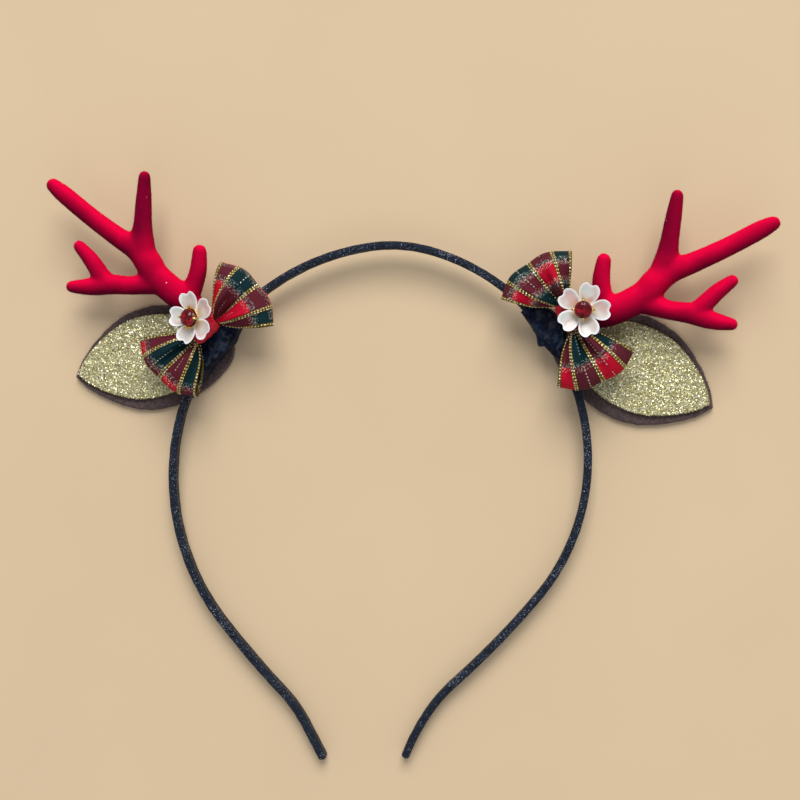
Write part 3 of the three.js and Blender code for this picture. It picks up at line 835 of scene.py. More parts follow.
FLAKE_SIDES = 6
FLAKE_SPIN = 6
FLAKE_SCALES = (0.55, 1.25)
FLAKE_LIFT = (0.02, 0.16)
FLAKE_SEEDS = {"left": 11, "right": 12}
FLAKES = {"Per square mm": 20.0, "Radius": 0.21, "Tilt": 0.4, "Seed": FLAKE_SEEDS["left"]}


def flake_recipe(finish):
    """Six-sided flakes scattered over the sheet, tilted at random."""
    recipe = Recipe("glitter_flakes", FLAKES)
    hexagon = recipe.node(
        "GeometryNodeMeshCircle",
        {"fill_type": "NGON"},
        {"Vertices": FLAKE_SIDES, "Radius": recipe.given("Radius") * MM},
        "Mesh",
    )
    recipe.scatter(hexagon, FLAKE_SPIN, FLAKE_SCALES, FLAKE_LIFT, finish)
    return recipe


# %% Lay the linings
LINING_BEVEL = 0.25
LINING_BEVEL_ANGLE = 45
FLAT_WITHIN = 1


def soften_edges(piece, width, degrees):
    """Rounds the edges that are sharper than an angle."""
    rim = piece.modifiers.new("soft edges", "BEVEL")
    rim.width = width * MM
    rim.segments = 2
    rim.limit_method = "ANGLE"
    rim.angle_limit = math.radians(degrees)


def copy_of(node, name, finish):
    """A merged copy of a CAD node with flat faces made whole, ready for modifiers."""
    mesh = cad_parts[node].data.copy()
    mesh.materials.clear()
    mesh.materials.append(finish.material)
    mend(mesh, MERGE_FINE, FLAT_WITHIN)
    return link(name, mesh)


def make_lining(side, finish, flakes):
    lining = copy_of(f"{side}_ear_lining", f"{side}_glitter_lining", finish)
    soften_edges(lining, LINING_BEVEL, LINING_BEVEL_ANGLE)
    glitter = settle(flakes.run(lining, f"{side}_glitter_flakes", Seed=FLAKE_SEEDS[side]), "glitter")
    settle(lining, "glitter", f"{side}_ear_lining")


on_both_sides(make_lining, sheet_finish(), flake_recipe(flake_finish()))

# %% [markdown]
# ## The antlers
# The antlers are foam, flocked with a velvet of short red fibres. They are drawn as five tapering branches,
# as the CAD model draws them. Remeshing fuses the branches into one skin, and smoothing rounds the forks as
# the foam is rounded. Light and shade are painted into the flock's red: each point keeps a number, higher
# where it faces the key light and lower on the upper tine. A layer of very short fibres gives the soft edge.


# %% Tubes and how they are put together
def tube(path, sides, tip_rings=6):
    """Points and faces of a round tube along [x, y, z, radius] rows, with a domed far end."""
    centres, radii = path[:, :3], path[:, 3]
    along = unit(np.gradient(centres, axis=0))
    angles = np.linspace(0, math.pi / 2, tip_rings + 1)[1:-1]
    dome = centres[-1] + along[-1] * (radii[-1] * np.sin(angles))[:, None]
    centres = np.vstack([centres, dome])
    along = np.vstack([along, np.repeat(along[-1:], len(angles), axis=0)])
    radii = np.concatenate([radii, radii[-1] * np.cos(angles)])
    across = unit(np.cross(along, [0.0, 0.0, 1.0]))
    over = np.cross(across, along)
    turn = np.linspace(0, 2 * math.pi, sides, endpoint=False)
    ring = np.cos(turn)[None, :, None] * across[:, None] + np.sin(turn)[None, :, None] * over[:, None]
    points = (centres[:, None] + radii[:, None, None] * ring).reshape(-1, 3)
    return points, grid_faces(len(centres), sides, ring_columns=True) + end_caps(len(centres), sides)


def put_together(parts):
    """One list of points and faces from several."""
    points = []
    faces = []
    for part_points, part_faces in parts:
        start = len(points)
        points.extend(np.asarray(part_points).tolist())
        faces.extend([start + corner for corner in face] for face in part_faces)
    return np.array(points), faces


# %% The branches
ANTLER = {
    "beam": [
        (1.5, 1.0, 2.3, 2.7), (6.0, 3.3, 3.8, 3.75), (10.7, 6.0, 4.3, 3.75), (14.6, 8.7, 4.5, 3.75),
        (17.0, 12.0, 4.8, 3.7), (20.4, 15.2, 5.0, 3.4), (26.0, 17.6, 5.4, 2.75), (34.9, 22.4, 6.0, 2.5),
        (43.2, 27.5, 6.6, 2.4), (46.8, 29.7, 6.8, 1.9),
    ],
    "upper_tine": [
        (17.6, 12.0, 4.9, 3.3), (19.3, 17.2, 5.1, 3.25), (19.9, 23.0, 5.3, 2.45), (20.4, 28.9, 5.5, 2.15),
        (21.0, 35.7, 5.8, 1.6),
    ],
    "lower_tine": [
        (11.8, 7.2, 4.4, 3.3), (17.0, 5.8, 4.4, 2.9), (21.4, 4.7, 4.6, 2.5), (26.4, 4.3, 4.7, 2.7),
        (32.5, 2.8, 4.9, 2.4), (38.2, 2.0, 5.0, 1.65),
    ],
    "lower_fork": [
        (26.8, 3.8, 4.7, 2.3), (29.8, 6.2, 4.9, 2.4), (33.7, 10.5, 5.1, 2.15), (37.4, 13.7, 5.3, 1.65),
    ],
    "brow_tine": [
        (4.6, 2.6, 3.5, 3.0), (3.0, 8.2, 3.9, 2.5), (2.4, 12.2, 4.2, 2.3), (2.7, 17.1, 4.5, 1.9),
    ],
}
ROOT_ANGLE = 22
ROOT_HEIGHT = 1.1
ROOT_RADIUS = 1.9
BRANCH_STEPS = 48
BRANCH_SIDES = 28
ANTLER_VOXEL = 0.42
SMOOTHING = 0.5
SMOOTHING_ROUNDS = 30
SMOOTHING_ALLOWANCE = 0.17


def make_branches(side, finish):
    """The five branches of an antler as tubes that run into one another."""
    spec = SIDES[side]
    angle = math.radians(ROOT_ANGLE)
    reach = spec["root_reach"]
    root = (-reach * math.cos(angle), -reach * math.sin(angle), ROOT_HEIGHT, ROOT_RADIUS)
    parts = []
    for name, rows in ANTLER.items():
        path = through([root, *rows] if name == "beam" else rows, BRANCH_STEPS)
        path[:, 3] += SMOOTHING_ALLOWANCE
        parts.append(tube(path, BRANCH_SIDES))
    points, faces = put_together(parts)
    placed = points @ turned(spec["antler_turn"], X, Y).T + [*spec["antler"], 0]
    return make_piece(f"{side}_branches", to_shared(placed, side), facing(faces, side), finish)


# %% The flock and its painted light and shade
PAINTED_LIGHT_WAY = np.array([0.12, 0.93, 0.2])
PAINTED_LIGHT_GAIN = 0.58
LIT_AND_SHADED_REDS = [(0.1, (0.14, 0.0, 0.02)), (0.5, (0.4, 0.0, 0.03)), (0.85, (0.82, 0.0, 0.05))]
PAINTED_TINE_SHADE = {"middle": 19.8, "half": 5.0, "from": 13.0, "over": 8.0, "darker": 0.46}
FLOCK_FIBRES = {"Per square mm": 12.0, "Length": 0.28, "Width": 0.03, "Tilt": 0.6, "Seed": 21}


def flock_finish():
    constants = {
        "Roughness": 0.9,
        "Specular IOR Level": 0.05,
        "Sheen Weight": 0.05,
        "Sheen Roughness": 0.4,
        "Sheen Tint": (1.0, 0.02, 0.08, 1.0),
    }
    flock = Finish("red_flock", constants)
    patches = 0.5 * (flock.noise(9.0, detail=1.0) - 0.5)
    # The red is painted lighter where the flock faces the key light and darker on the upper tine.
    red = flock.ramp(flock.attribute("nap") + patches, LIT_AND_SHADED_REDS)
    dust = (flock.cells(2.6) < 0.07) * (flock.chance(2.6, "Green") > 0.84)
    flock.feed({"Base Color": flock.mix(dust, red, (0.9, 0.72, 0.72, 1.0))})
    flock.bump(flock.noise(0.22, detail=3.0), depth=0.1)
    return flock


def flock_fibre_finish():
    fibre = Finish("flock_fibre", {"Roughness": 0.9, "Specular IOR Level": 0.05})
    each = 0.3 * (fibre.attribute("tone") - 0.5)
    fibre.dye(fibre.attribute("nap") + each, LIT_AND_SHADED_REDS)
    return fibre


def painted_shading_of(mesh, side):
    """Painted light and shade: lighter where a point faces the key light, darker on the upper tine."""
    spec = SIDES[side]
    points = np.array([v.co for v in mesh.vertices]) / MM
    # Points that face the key light are painted lighter, and the upper tine is painted in shade.
    facing_light = np.array([v.normal for v in mesh.vertices]) @ PAINTED_LIGHT_WAY
    from_root = (points - SHIFT) @ LEAN * [MIRROR[side], 1, 1] - [*spec["antler"], 0]
    local = from_root @ turned(spec["antler_turn"], X, Y)
    beside = np.sqrt(np.clip(1 - np.abs(local[:, X] - PAINTED_TINE_SHADE["middle"]) / PAINTED_TINE_SHADE["half"], 0, 1))
    above = np.clip((local[:, Y] - PAINTED_TINE_SHADE["from"]) / PAINTED_TINE_SHADE["over"], 0, 1)
    return spec["pile"] + PAINTED_LIGHT_GAIN * facing_light - PAINTED_TINE_SHADE["darker"] * beside * above


# %% Fuse and flock the antlers
def make_antler(side, finish, fibres):
    rough = make_branches(side, finish)
    skin = rough.modifiers.new("one skin", "REMESH")
    skin.mode = "VOXEL"
    skin.voxel_size = ANTLER_VOXEL * MM
    forks = rough.modifiers.new("rounded forks", "SMOOTH")
    forks.factor = SMOOTHING
    forks.iterations = SMOOTHING_ROUNDS
    mesh = plain_mesh(rough)
    mesh.shade_smooth()
    note(mesh, nap=painted_shading_of(mesh, side))
    bpy.data.objects.remove(rough)
    antler = link(f"{side}_flocked_antler", mesh)
    settle(fibres.run(antler, f"{side}_antler_nap"), "flock")
    settle(antler, "flock", f"{side}_antler")


flock_fibres = fibre_recipe("flock_fibres", FLOCK_FIBRES, flock_fibre_finish())
on_both_sides(make_antler, flock_finish(), flock_fibres)

# %% [markdown]
# ## The tartan bows
# Each bow is one ring of ribbon, 25 mm wide, pinched in the middle. The pinch gathers it into pleats that
# open into two ridges with a valley between them. The ribbon is a grid that follows the ring: rows run along
# it and columns across it, so each point knows its distance along and across the ribbon, and the tartan can
# be woven on the cloth itself instead of being projected on it.

# %% Sizes of the ribbon and its loops
BOW_Z = 6.8
RIBBON_WIDE = 25.0
RIBBON_THICK = 0.34
RIBBON_COLUMNS = 96
LOOP_ROWS = 44
ROW_CROWDING = 1.3
LOOP_BULGE = 3.9
LOOP_HALF_WIDTH = 11.5
LOOP_FLARE = 0.68
LOOP_FRONT = 4.2
LOOP_BACK = 2.4
LOOP_CREST = 0.62
LOOP_LOBE = 0.7
LOOP_BEND_END = 1 / 3
PINCH_HALF_WIDTH = 1.4
PINCH_HALF_HEIGHT = 0.95
PINCH_HALF_LENGTH = 4.4
PLEAT = 2.3
PLEAT_CREST = 0.35
PLEAT_SHARPNESS = 1.2
BACK_PLEAT = 0.25
GATHER = 0.75
GATHER_HELD = 0.3
GATHER_FREE = 0.15
GATHER_FADE = 0.42
GATHER_WAVES = 3.0
CREASE = 0.16
CREASE_SLANT = (9, 7)
CREASE_CROSS = (-5, 13)
UPPER = -1
LOWER = 1
LOOPS = {
    "left": {
        UPPER: {"turn": -2.5, "reach": 19.9, "slant": 0, "frost": 0.5, "first": "red", "changes": [15, 21]},
        LOWER: {"turn": 3.5, "reach": 19.6, "slant": 0, "frost": 0.5, "first": "green", "changes": [17]},
    },
    "right": {
        UPPER: {"turn": -8, "reach": 18.6, "slant": -1, "frost": 1, "first": "green", "changes": [9.8, 16]},
        LOWER: {"turn": 2.5, "reach": 20.4, "slant": 0.5, "frost": 0.6, "first": "green", "changes": [14]},
    },
}


# %% One loop of ribbon
def loop_height(part, height):
    """Half height of a loop on the way from the pinch to its end."""
    rise = PINCH_HALF_HEIGHT + (height - PINCH_HALF_HEIGHT) * np.sin(math.pi / 2 * part / LOOP_CREST)
    fall = height * np.sqrt(np.clip(1 - ((part - LOOP_CREST) / (1 - LOOP_CREST)) ** 2, 0, 1))
    return np.where(part <= LOOP_CREST, rise, fall)


def loop_folds(sign, part, across):
    """The pleat's ridges and, apart from them, the gathers at the pinch and the creases."""
    swell = part / PLEAT_CREST
    depth = PLEAT * (swell * np.exp(1 - swell)) ** PLEAT_SHARPNESS * (1 - part**2)
    ridge = -depth * np.cos(2 * math.pi * across)
    held = np.minimum(1, GATHER_HELD + (1 - GATHER_HELD) * part / GATHER_FREE)
    gather = GATHER * held * np.exp(-part / GATHER_FADE) * np.sin(2 * math.pi * GATHER_WAVES * across + sign)
    slant = np.sin(CREASE_SLANT[0] * part + CREASE_SLANT[1] * across + sign)
    cross = np.sin(CREASE_CROSS[0] * part + CREASE_CROSS[1] * across)
    return ridge, gather + CREASE * slant * cross * np.sin(math.pi * part)


def loop_points(side, sign, part, front, across):
    """Points of one loop in the bow's frame: along the ribbon, across it and up."""
    loop = LOOPS[side][sign]
    lobe = LOOP_LOBE * (np.cos(2 * math.pi * across) + 1) / 2
    reach = loop["reach"] + LOOP_LOBE / 2 - LOOP_BULGE * across**2 - lobe - RIBBON_THICK / 2
    reach = reach + loop["slant"] * across
    half = PINCH_HALF_WIDTH + (LOOP_HALF_WIDTH - PINCH_HALF_WIDTH) * part**LOOP_FLARE
    face = loop_height(part, np.where(front, LOOP_FRONT, LOOP_BACK))
    ridge, small = loop_folds(sign, part, across)
    up = np.where(front, face + ridge, -face + BACK_PLEAT * ridge) + small
    turn = -math.radians(loop["turn"]) * np.minimum(1, part / LOOP_BEND_END)
    away = sign * (reach - PINCH_HALF_LENGTH) * part
    side_step = across * half
    along = sign * PINCH_HALF_LENGTH + away * np.cos(turn) - side_step * np.sin(turn)
    return np.stack([along, away * np.sin(turn) + side_step * np.cos(turn), up], axis=-1)


def loop_grid(side, sign):
    """The loop from the pinch over the front to its end and home along the back, with its lengths."""
    outwards = np.sin(np.linspace(0, math.pi / 2, LOOP_ROWS + 1)) ** ROW_CROWDING
    part = np.concatenate([outwards, outwards[-2::-1]])[:, None]
    front = (np.arange(len(part)) <= LOOP_ROWS)[:, None]
    across = np.linspace(-1, 1, RIBBON_COLUMNS + 1)[None, :]
    points = loop_points(side, sign, part, front, across)
    steps = np.linalg.norm(np.diff(points[:, RIBBON_COLUMNS // 2], axis=0), axis=1)
    along = PINCH_HALF_LENGTH + np.concatenate([[0], np.cumsum(steps)])
    return points, along


# %% [markdown]
# ## Weaving the tartan
# Tartan is plain weave: coloured threads run along the ribbon and across it, and where red crosses green the
# eye sees burgundy. The chart gives the stripes across the ribbon from its red edge. Along the ribbon, red
# and green take turns, with a frost of silver where they change. Gold threads line each stripe and show as
# rows of dots.

# %% The tartan chart
CHART = [
    ("gold", 0.9), ("red", 3.2), ("gold", 1.2), ("green", 6.8), ("gold", 1.5),
    ("red", 6.1), ("gold", 1.2), ("green", 3.2), ("gold", 0.9),
]
DOTTED_THREADS = (8.7, 16.65)
DOTTED_HALF = 0.16
GOLD_PITCH = 0.95
THREAD = 0.6


def stripes(colour):
    """Where that colour lies across the ribbon, as (from, to) in millimetres."""
    place = 0.0
    found = []
    for name, wide in CHART:
        if name == colour:
            found.append((place, place + wide))
        place += wide
    return found


# %% The woven finish
def tartan_finish():
    cloth = Finish("tartan_ribbon", {"Specular IOR Level": 0.14})
    across = cloth.attribute("across_mm")
    along = cloth.attribute("along_mm")
    near_change = cloth.attribute("frost")

    def warp(colour):
        return sum(((across > low) * (across < high) for low, high in stripes(colour)), start=0.0)

    def wave(distance, pitch):
        return (distance * (2 * math.pi / pitch)).sine()

    warp_gold = warp("gold")
    weft_red = cloth.attribute("weft").floor() % 2.0
    thread_up = wave(across, THREAD) * wave(along, THREAD)
    over = 0.5 + 0.3 * thread_up
    red_share = warp("red") * over + weft_red * (1 - over)
    dyes = [
        (0.0, (0.0005, 0.022, 0.028)),
        (0.2, (0.001, 0.031, 0.037)),
        (0.5, (0.05, 0.009, 0.022)),
        (0.8, (0.4, 0.001, 0.014)),
        (1.0, (0.56, 0.001, 0.024)),
    ]
    uneven = 0.12 * (cloth.noise(0.7) - 0.5)
    dyed = cloth.ramp(red_share + uneven, dyes)
    glint = cloth.noise(0.5, detail=1.0)
    golds = [(0.35, (0.06, 0.045, 0.01)), (0.6, (0.2, 0.13, 0.025)), (0.75, (0.6, 0.45, 0.15))]
    lined = cloth.mix(warp_gold, dyed, cloth.ramp(glint, golds))
    fine = sum(((across - place).size() < DOTTED_HALF for place in DOTTED_THREADS), start=0.0)
    fine = fine * (wave(along, GOLD_PITCH) > 0.1) * (cloth.noise(7.0, detail=1.0) > 0.46)
    frost = (glint + 0.2 * thread_up + 0.14 * near_change > 0.68) * (near_change > 0.0)
    silver = fine + 0.6 * frost
    metal = warp_gold.or_more(silver)
    cloth.feed({"Base Color": cloth.mix(silver, lined, (0.7, 0.72, 0.6, 1.0))})
    cloth.feed({"Metallic": metal * 0.4, "Roughness": 0.62 - 0.3 * metal})
    cloth.bump(thread_up * 0.6 + metal, depth=0.11)
    return cloth


# %% Gold dots
def lurex_finish():
    lurex = Finish("gold_lurex", {"Metallic": 0.5, "Roughness": 0.28})
    golds = [(0.0, (0.5, 0.37, 0.08)), (0.5, (0.86, 0.73, 0.3)), (1.0, (1.0, 0.95, 0.7))]
    lurex.dye(lurex.attribute("tone"), golds)
    return lurex


DOTS = {"Pitch": GOLD_PITCH, "Radius": 0.25, "Seed": 31}
DOT_SHAPE = (0.9, 0.75, 1.1)
DOT_SCALES = (0.7, 1.15)


def dot_recipe(finish):
    """Small drawn-out beads along a line, one for each place where the gold thread comes up."""
    recipe = Recipe("lurex_dots", DOTS)
    line = recipe.node("GeometryNodeMeshToCurve", None, {"Mesh": recipe.source})
    pitch = recipe.given("Pitch") * MM
    spots = recipe.node("GeometryNodeCurveToPoints", {"mode": "LENGTH"}, {"Curve": line, "Length": pitch})
    ball = {"Radius": recipe.given("Radius") * MM, "Subdivisions": 1}
    bead = recipe.node("GeometryNodeMeshIcoSphere", None, ball, "Mesh")
    long_bead = recipe.node("GeometryNodeTransform", None, {"Geometry": bead, "Scale": DOT_SHAPE})
    recipe.serve(spots, long_bead, spots.also("Rotation"), DOT_SCALES, finish)
    return recipe


# %% Rows of dots on the ribbon
DOT_INSET = 0.32
DOT_LIFT = 0.05
NARROW_STRIPE = 1.0


def gold_lines():
    """Places across the ribbon where a row of gold dots runs: two to a stripe, one to a narrow stripe."""
    lines = []
    for low, high in stripes("gold"):
        if high - low > NARROW_STRIPE:
            lines.extend([low + DOT_INSET, high - DOT_INSET])
        else:
            lines.append((low + high) / 2)
    return lines


def bow_to_shared(points, side):
    """From a bow's frame, along the ribbon down the leg, outwards and up, to the shared frame."""
    spec = SIDES[side]
    heading = math.radians(spec["bow_heading"])
    down = np.array([math.cos(heading), -math.sin(heading), 0.0])
    out = np.array([math.sin(heading), math.cos(heading), 0.0])
    placed = points[..., :1] * down + points[..., 1:2] * out + points[..., 2:] * np.array([0.0, 0.0, 1.0])
    return to_shared(placed + [*spec["bow"], BOW_Z], side)


def make_lurex(side, rows, across, dots):
    """Rows of gold dots that ride on the ribbon's outer face."""
    along = np.roll(rows, -1, axis=0) - np.roll(rows, 1, axis=0)
    out = unit(np.cross(along, np.gradient(rows, axis=1)))
    face = rows + out * (RIBBON_THICK / 2 + DOT_LIFT)
    columns = np.arange(RIBBON_COLUMNS + 1)
    points = []
    edges = []
    for place in gold_lines():
        spot = np.interp(place, np.sort(across), columns if across[0] < across[-1] else columns[::-1])
        left = min(int(spot), RIBBON_COLUMNS - 1)
        share = spot - left
        start = len(points)
        points.extend((face[:, left] * (1 - share) + face[:, left + 1] * share).tolist())
        edges.extend((start + k, start + (k + 1) % len(rows)) for k in range(len(rows)))
    lines = make_piece(f"{side}_gold_lines", bow_to_shared(np.array(points), side), [], None, edges=edges)
    lurex = dots.run(lines, f"{side}_lurex")
    bpy.data.objects.remove(lines)
    return settle(lurex, "tartan")


# %% Tie the bows
WEFT_REPEAT = 9.0
FROST_REACH = 1.5


def give_wall(piece, thick):
    """Thickens a sheet evenly to both sides."""
    body = piece.modifiers.new("cloth", "SOLIDIFY")
    body.thickness = thick * MM
    body.offset = 0.0


def weft_zones(lengths, loop):
    """Counts the weft's colour changes along a loop, odd where it is red, and the frost near a change."""
    changes = [0.0, *loop["changes"]]
    while changes[-1] < lengths.max():
        changes.append(changes[-1] + WEFT_REPEAT)
    first = 1 if loop["first"] == "red" else 0
    count = np.interp(lengths, changes, np.arange(len(changes)) + first)
    away = np.abs(lengths[:, None] - np.array(changes)[None, 1:]).min(axis=1)
    return count, loop["frost"] * (1 - away / FROST_REACH)


def make_bow(side, finish, dots):
    upper, upper_along = loop_grid(side, UPPER)
    lower, lower_along = loop_grid(side, LOWER)
    rows = np.concatenate([upper[::-1], lower])
    along = np.concatenate([upper_along[::-1], lower_along])
    upper_zones = weft_zones(upper_along[::-1], LOOPS[side][UPPER])
    lower_zones = weft_zones(lower_along, LOOPS[side][LOWER])
    weft, frost = (np.concatenate(pair) for pair in zip(upper_zones, lower_zones))
    columns = RIBBON_COLUMNS + 1
    across = RIBBON_WIDE / 2 * (1 + MIRROR[side] * np.linspace(-1, 1, columns))
    faces = facing(grid_faces(len(rows), columns, ring_rows=True), side)
    bow = make_piece(f"{side}_tartan_bow", bow_to_shared(rows.reshape(-1, 3), side), faces, finish)
    by_row = {"along_mm": along, "weft": weft, "frost": frost}
    note(bow.data, across_mm=np.tile(across, len(rows)))
    note(bow.data, **{name: np.repeat(numbers, columns) for name, numbers in by_row.items()})
    give_wall(bow, RIBBON_THICK)
    lurex = make_lurex(side, rows, across, dots)
    settle(bow, "tartan", f"{side}_bow")


on_both_sides(make_bow, tartan_finish(), dot_recipe(lurex_finish()))

# %% [markdown]
# ## The satin knots
# A strap of red satin is wrapped once round the pinch of each bow. It is drawn tight, so it has shallow
# folds that run round with it and rolls over at its two edges. A ring of points swept along the ribbon's
# direction gives the strap, and a wave along that direction gives the folds.


# %% Satin
def satin_finish():
    satin = Finish("red_satin", {"Roughness": 0.38, "Specular IOR Level": 0.25, "Anisotropic": 0.4})
    satin.dye(satin.noise(0.8, detail=3.0), [(0.3, (0.42, 0.003, 0.016)), (0.7, (0.64, 0.01, 0.036))])
    satin.bump(satin.noise(0.35, detail=3.0), depth=0.06)
    return satin


# %% Wrap the knots
KNOT_LENGTH = 7.6
KNOT_HALF = 1.8
KNOT_HIGH = 2.15
KNOT_WALL = 0.8
KNOT_CORNER = 1.6
KNOT_TAPER = 0.3
KNOT_FOLD = 0.09
KNOT_FOLD_PITCH = 2.3
KNOT_SWAY = 0.12
KNOT_SWAY_WAVE = 1.1
KNOT_SWAY_DRIFT = 2
KNOT_BEVEL = 0.2
KNOT_BEVEL_ANGLE = 60
KNOT_ROWS = 40


def make_knot(side, finish):
    rows = []
    for k in range(KNOT_ROWS + 1):
        part = 2 * k / KNOT_ROWS - 1
        u = part * KNOT_LENGTH / 2
        swell = KNOT_FOLD * math.sin(2 * math.pi * u / KNOT_FOLD_PITCH) - KNOT_TAPER * part**2
        wide = KNOT_HALF + swell
        section = rounded(-wide, wide, KNOT_HIGH + swell, KNOT_CORNER + swell, SOFT_STEPS)
        sway = KNOT_SWAY * np.sin(section[:, 0] * KNOT_SWAY_WAVE + KNOT_SWAY_DRIFT * part)
        rows.append(np.column_stack([np.full(len(section), u) + sway, section]))
    faces = facing(grid_faces(len(rows), len(section), ring_columns=True), side)
    knot = make_piece(f"{side}_satin_knot", bow_to_shared(np.vstack(rows), side), faces, finish)
    give_wall(knot, KNOT_WALL)
    soften_edges(knot, KNOT_BEVEL, KNOT_BEVEL_ANGLE)
    settle(knot, "satin", f"{side}_knot")


on_both_sides(make_knot, satin_finish())

# %% [markdown]
# ## The flowers
# Five moulded petals with a pearly coat stand round a gold claw cup with a red stone. Each petal is a
# shallow dish with a raised rim and a notch at its tip. One petal is worked out and turned five times, and
# a short pad under them seats the flower on its knot.

# %% Petal sizes and finish
PETALS = 5
PETAL_START = 0.6
PETAL_LENGTH = 7.7
PETAL_HALF = 3.5
PETAL_TAPER = 0.4
PETAL_NOTCH = 0.85
PETAL_NOTCH_ANGLE = 0.27
PETAL_THICK = 0.8
PETAL_RISE = 1.5
PETAL_CURL = 1.2
PETAL_LIP = 0.35
PETAL_LIP_POWER = 9
PETAL_EDGE_POWER = 10
PETAL_RINGS = 16
PETAL_SPOKES = 56


def pearl_finish():
    constants = {
        "Roughness": 0.28,
        "Coat Weight": 0.4,
        "Coat Roughness": 0.12,
        "Subsurface Weight": 0.15,
        "Subsurface Scale": 0.001,
        "Specular IOR Level": 0.5,
    }
    pearl = Finish("pearl_petal", constants)
    tints = [
        (0.34, (0.78, 0.54, 0.52)),
        (0.46, (0.73, 0.67, 0.65)),
        (0.56, (0.8, 0.76, 0.74)),
        (0.68, (0.7, 0.78, 0.78)),
    ]
    # Towards the middle the petals are painted warm: a painted reflection of the gold cup.
    painted_gold_reflection = pearl.ramp(pearl.attribute("outwards"), [(0.3, (0.8, 0.62, 0.4)), (0.55, (0.92, 0.88, 0.84))])
    dish = pearl.mix(1.0, pearl.ramp(pearl.noise(4.5), tints), painted_gold_reflection, "MULTIPLY")
    rim = pearl.ramp(pearl.attribute("rim"), [(0.72, (0, 0, 0)), (0.95, (1, 1, 1))])
    pearl.feed({"Base Color": pearl.mix(rim, dish, (0.95, 0.95, 0.96, 1.0))})
    pearl.bump(pearl.noise(1.2), depth=0.05)
    return pearl


# %% One petal
def petal_grid():
    """Top and under side of one petal that points along x, ring by ring from its middle to its rim."""
    turn = np.linspace(-math.pi, math.pi, PETAL_SPOKES, endpoint=False)[None, :]
    ring = np.sin(np.linspace(0, math.pi / 2, PETAL_RINGS + 1))[:, None]
    notch = PETAL_NOTCH * np.exp(-((turn / PETAL_NOTCH_ANGLE) ** 2))
    reach = (PETAL_LENGTH - PETAL_START) / 2 * np.cos(turn) - notch
    half = PETAL_HALF * np.sin(turn) * ((1 + np.cos(turn)) / 2) ** PETAL_TAPER
    x = (PETAL_LENGTH + PETAL_START) / 2 + ring * reach
    y = ring * half
    out = x / PETAL_LENGTH
    dish = PETAL_RISE * out**2 + PETAL_CURL * (y / PETAL_HALF) ** 2 * np.sin(math.pi / 2 * out)
    middle = dish + PETAL_THICK / 2 + PETAL_LIP * ring**PETAL_LIP_POWER * out
    thick = PETAL_THICK / 2 * np.sqrt(1 - ring**PETAL_EDGE_POWER)
    rim = np.repeat(ring, PETAL_SPOKES, axis=1)
    return np.stack([x, y, middle + thick], axis=-1), np.stack([x, y, middle - thick], axis=-1), rim, out


# %% Petals on their pad
PAD_FOOT = 2.0
PAD_PROFILE = [(0, 2.05), (0.8, 2.1), (1.0, 1.8)]
PAD_LEAN = 0.001
PAD_SIDES = 24
PAD_TIP_RINGS = 2


def flower_to_shared(points, side):
    """From a flower's own frame, its face upwards, to the shared frame."""
    spec = SIDES[side]
    turn = turned(spec["flower_tilt"], Z, X) @ turned(spec["flower_turn"], X, Y)
    return to_shared(points @ turn.T + spec["flower"], side)


def round_the_middle(points, faces, count):
    """The same part several times round a flower's middle."""
    return [(points @ turned(360 * k / count, X, Y).T, faces) for k in range(count)]


def pad_tube(side):
    """The pad as an upright tube; a hair of lean tells the tube which way its sides face."""
    rows = [(-SIDES[side]["pad"], PAD_FOOT), *PAD_PROFILE]
    path = [(0, k * PAD_LEAN, z, radius) for k, (z, radius) in enumerate(rows)]
    return tube(np.array(path), PAD_SIDES, PAD_TIP_RINGS)


def make_petals(side, finish):
    top, under, rim, out = petal_grid()
    faces = two_sided(grid_faces(*rim.shape, ring_columns=True), rim.size)
    petal = np.vstack([top.reshape(-1, 3), under.reshape(-1, 3)])
    points, faces = put_together([*round_the_middle(petal, faces, PETALS), pad_tube(side)])
    petals = make_piece(f"{side}_pearl_petals", flower_to_shared(points, side), faces, finish)
    for name, values in (("rim", rim), ("outwards", out)):
        numbers = np.zeros(len(points))
        numbers[:len(petal) * PETALS] = np.tile(values.ravel(), 2 * PETALS)
        note(petals.data, **{name: numbers})
    settle(close_up(petals, MERGE_FINE), "pearl", f"{side}_petals")


on_both_sides(make_petals, pearl_finish())

# %% [markdown]
# ## Settings and stones
# The setting is a turned gold cup with four claws bent over the stone. The stone is a round cut: a flat
# table, two rows of crown facets, a thin girdle and a back that narrows to a small flat. Its facets stay
# flat, because flat facets are what makes a cut stone flash. Patches of dark and bright red in the glass
# stand for what its back facets reflect.


# %% Gold and red glass
def gold_finish():
    gold = Finish("bright_gold", {"Metallic": 1.0})
    gold.dye(gold.noise(0.8), [(0.3, (0.62, 0.42, 0.12)), (0.7, (0.88, 0.68, 0.28))])
    gold.feed({"Roughness": 0.14 + 0.2 * gold.noise(0.5)})
    return gold


def stone_finish():
    constants = {"Roughness": 0.04, "IOR": 1.5, "Transmission Weight": 0.5, "Specular IOR Level": 0.25}
    stone = Finish("red_glass", constants)
    # Patches of dark and bright red are painted reflections of the stone's back facets.
    painted_reflection_reds = [(0.0, (0.06, 0.0, 0.004)), (0.65, (0.26, 0.0005, 0.01)), (1.0, (0.75, 0.004, 0.02))]
    stone.dye(stone.chance(0.8), painted_reflection_reds)
    return stone


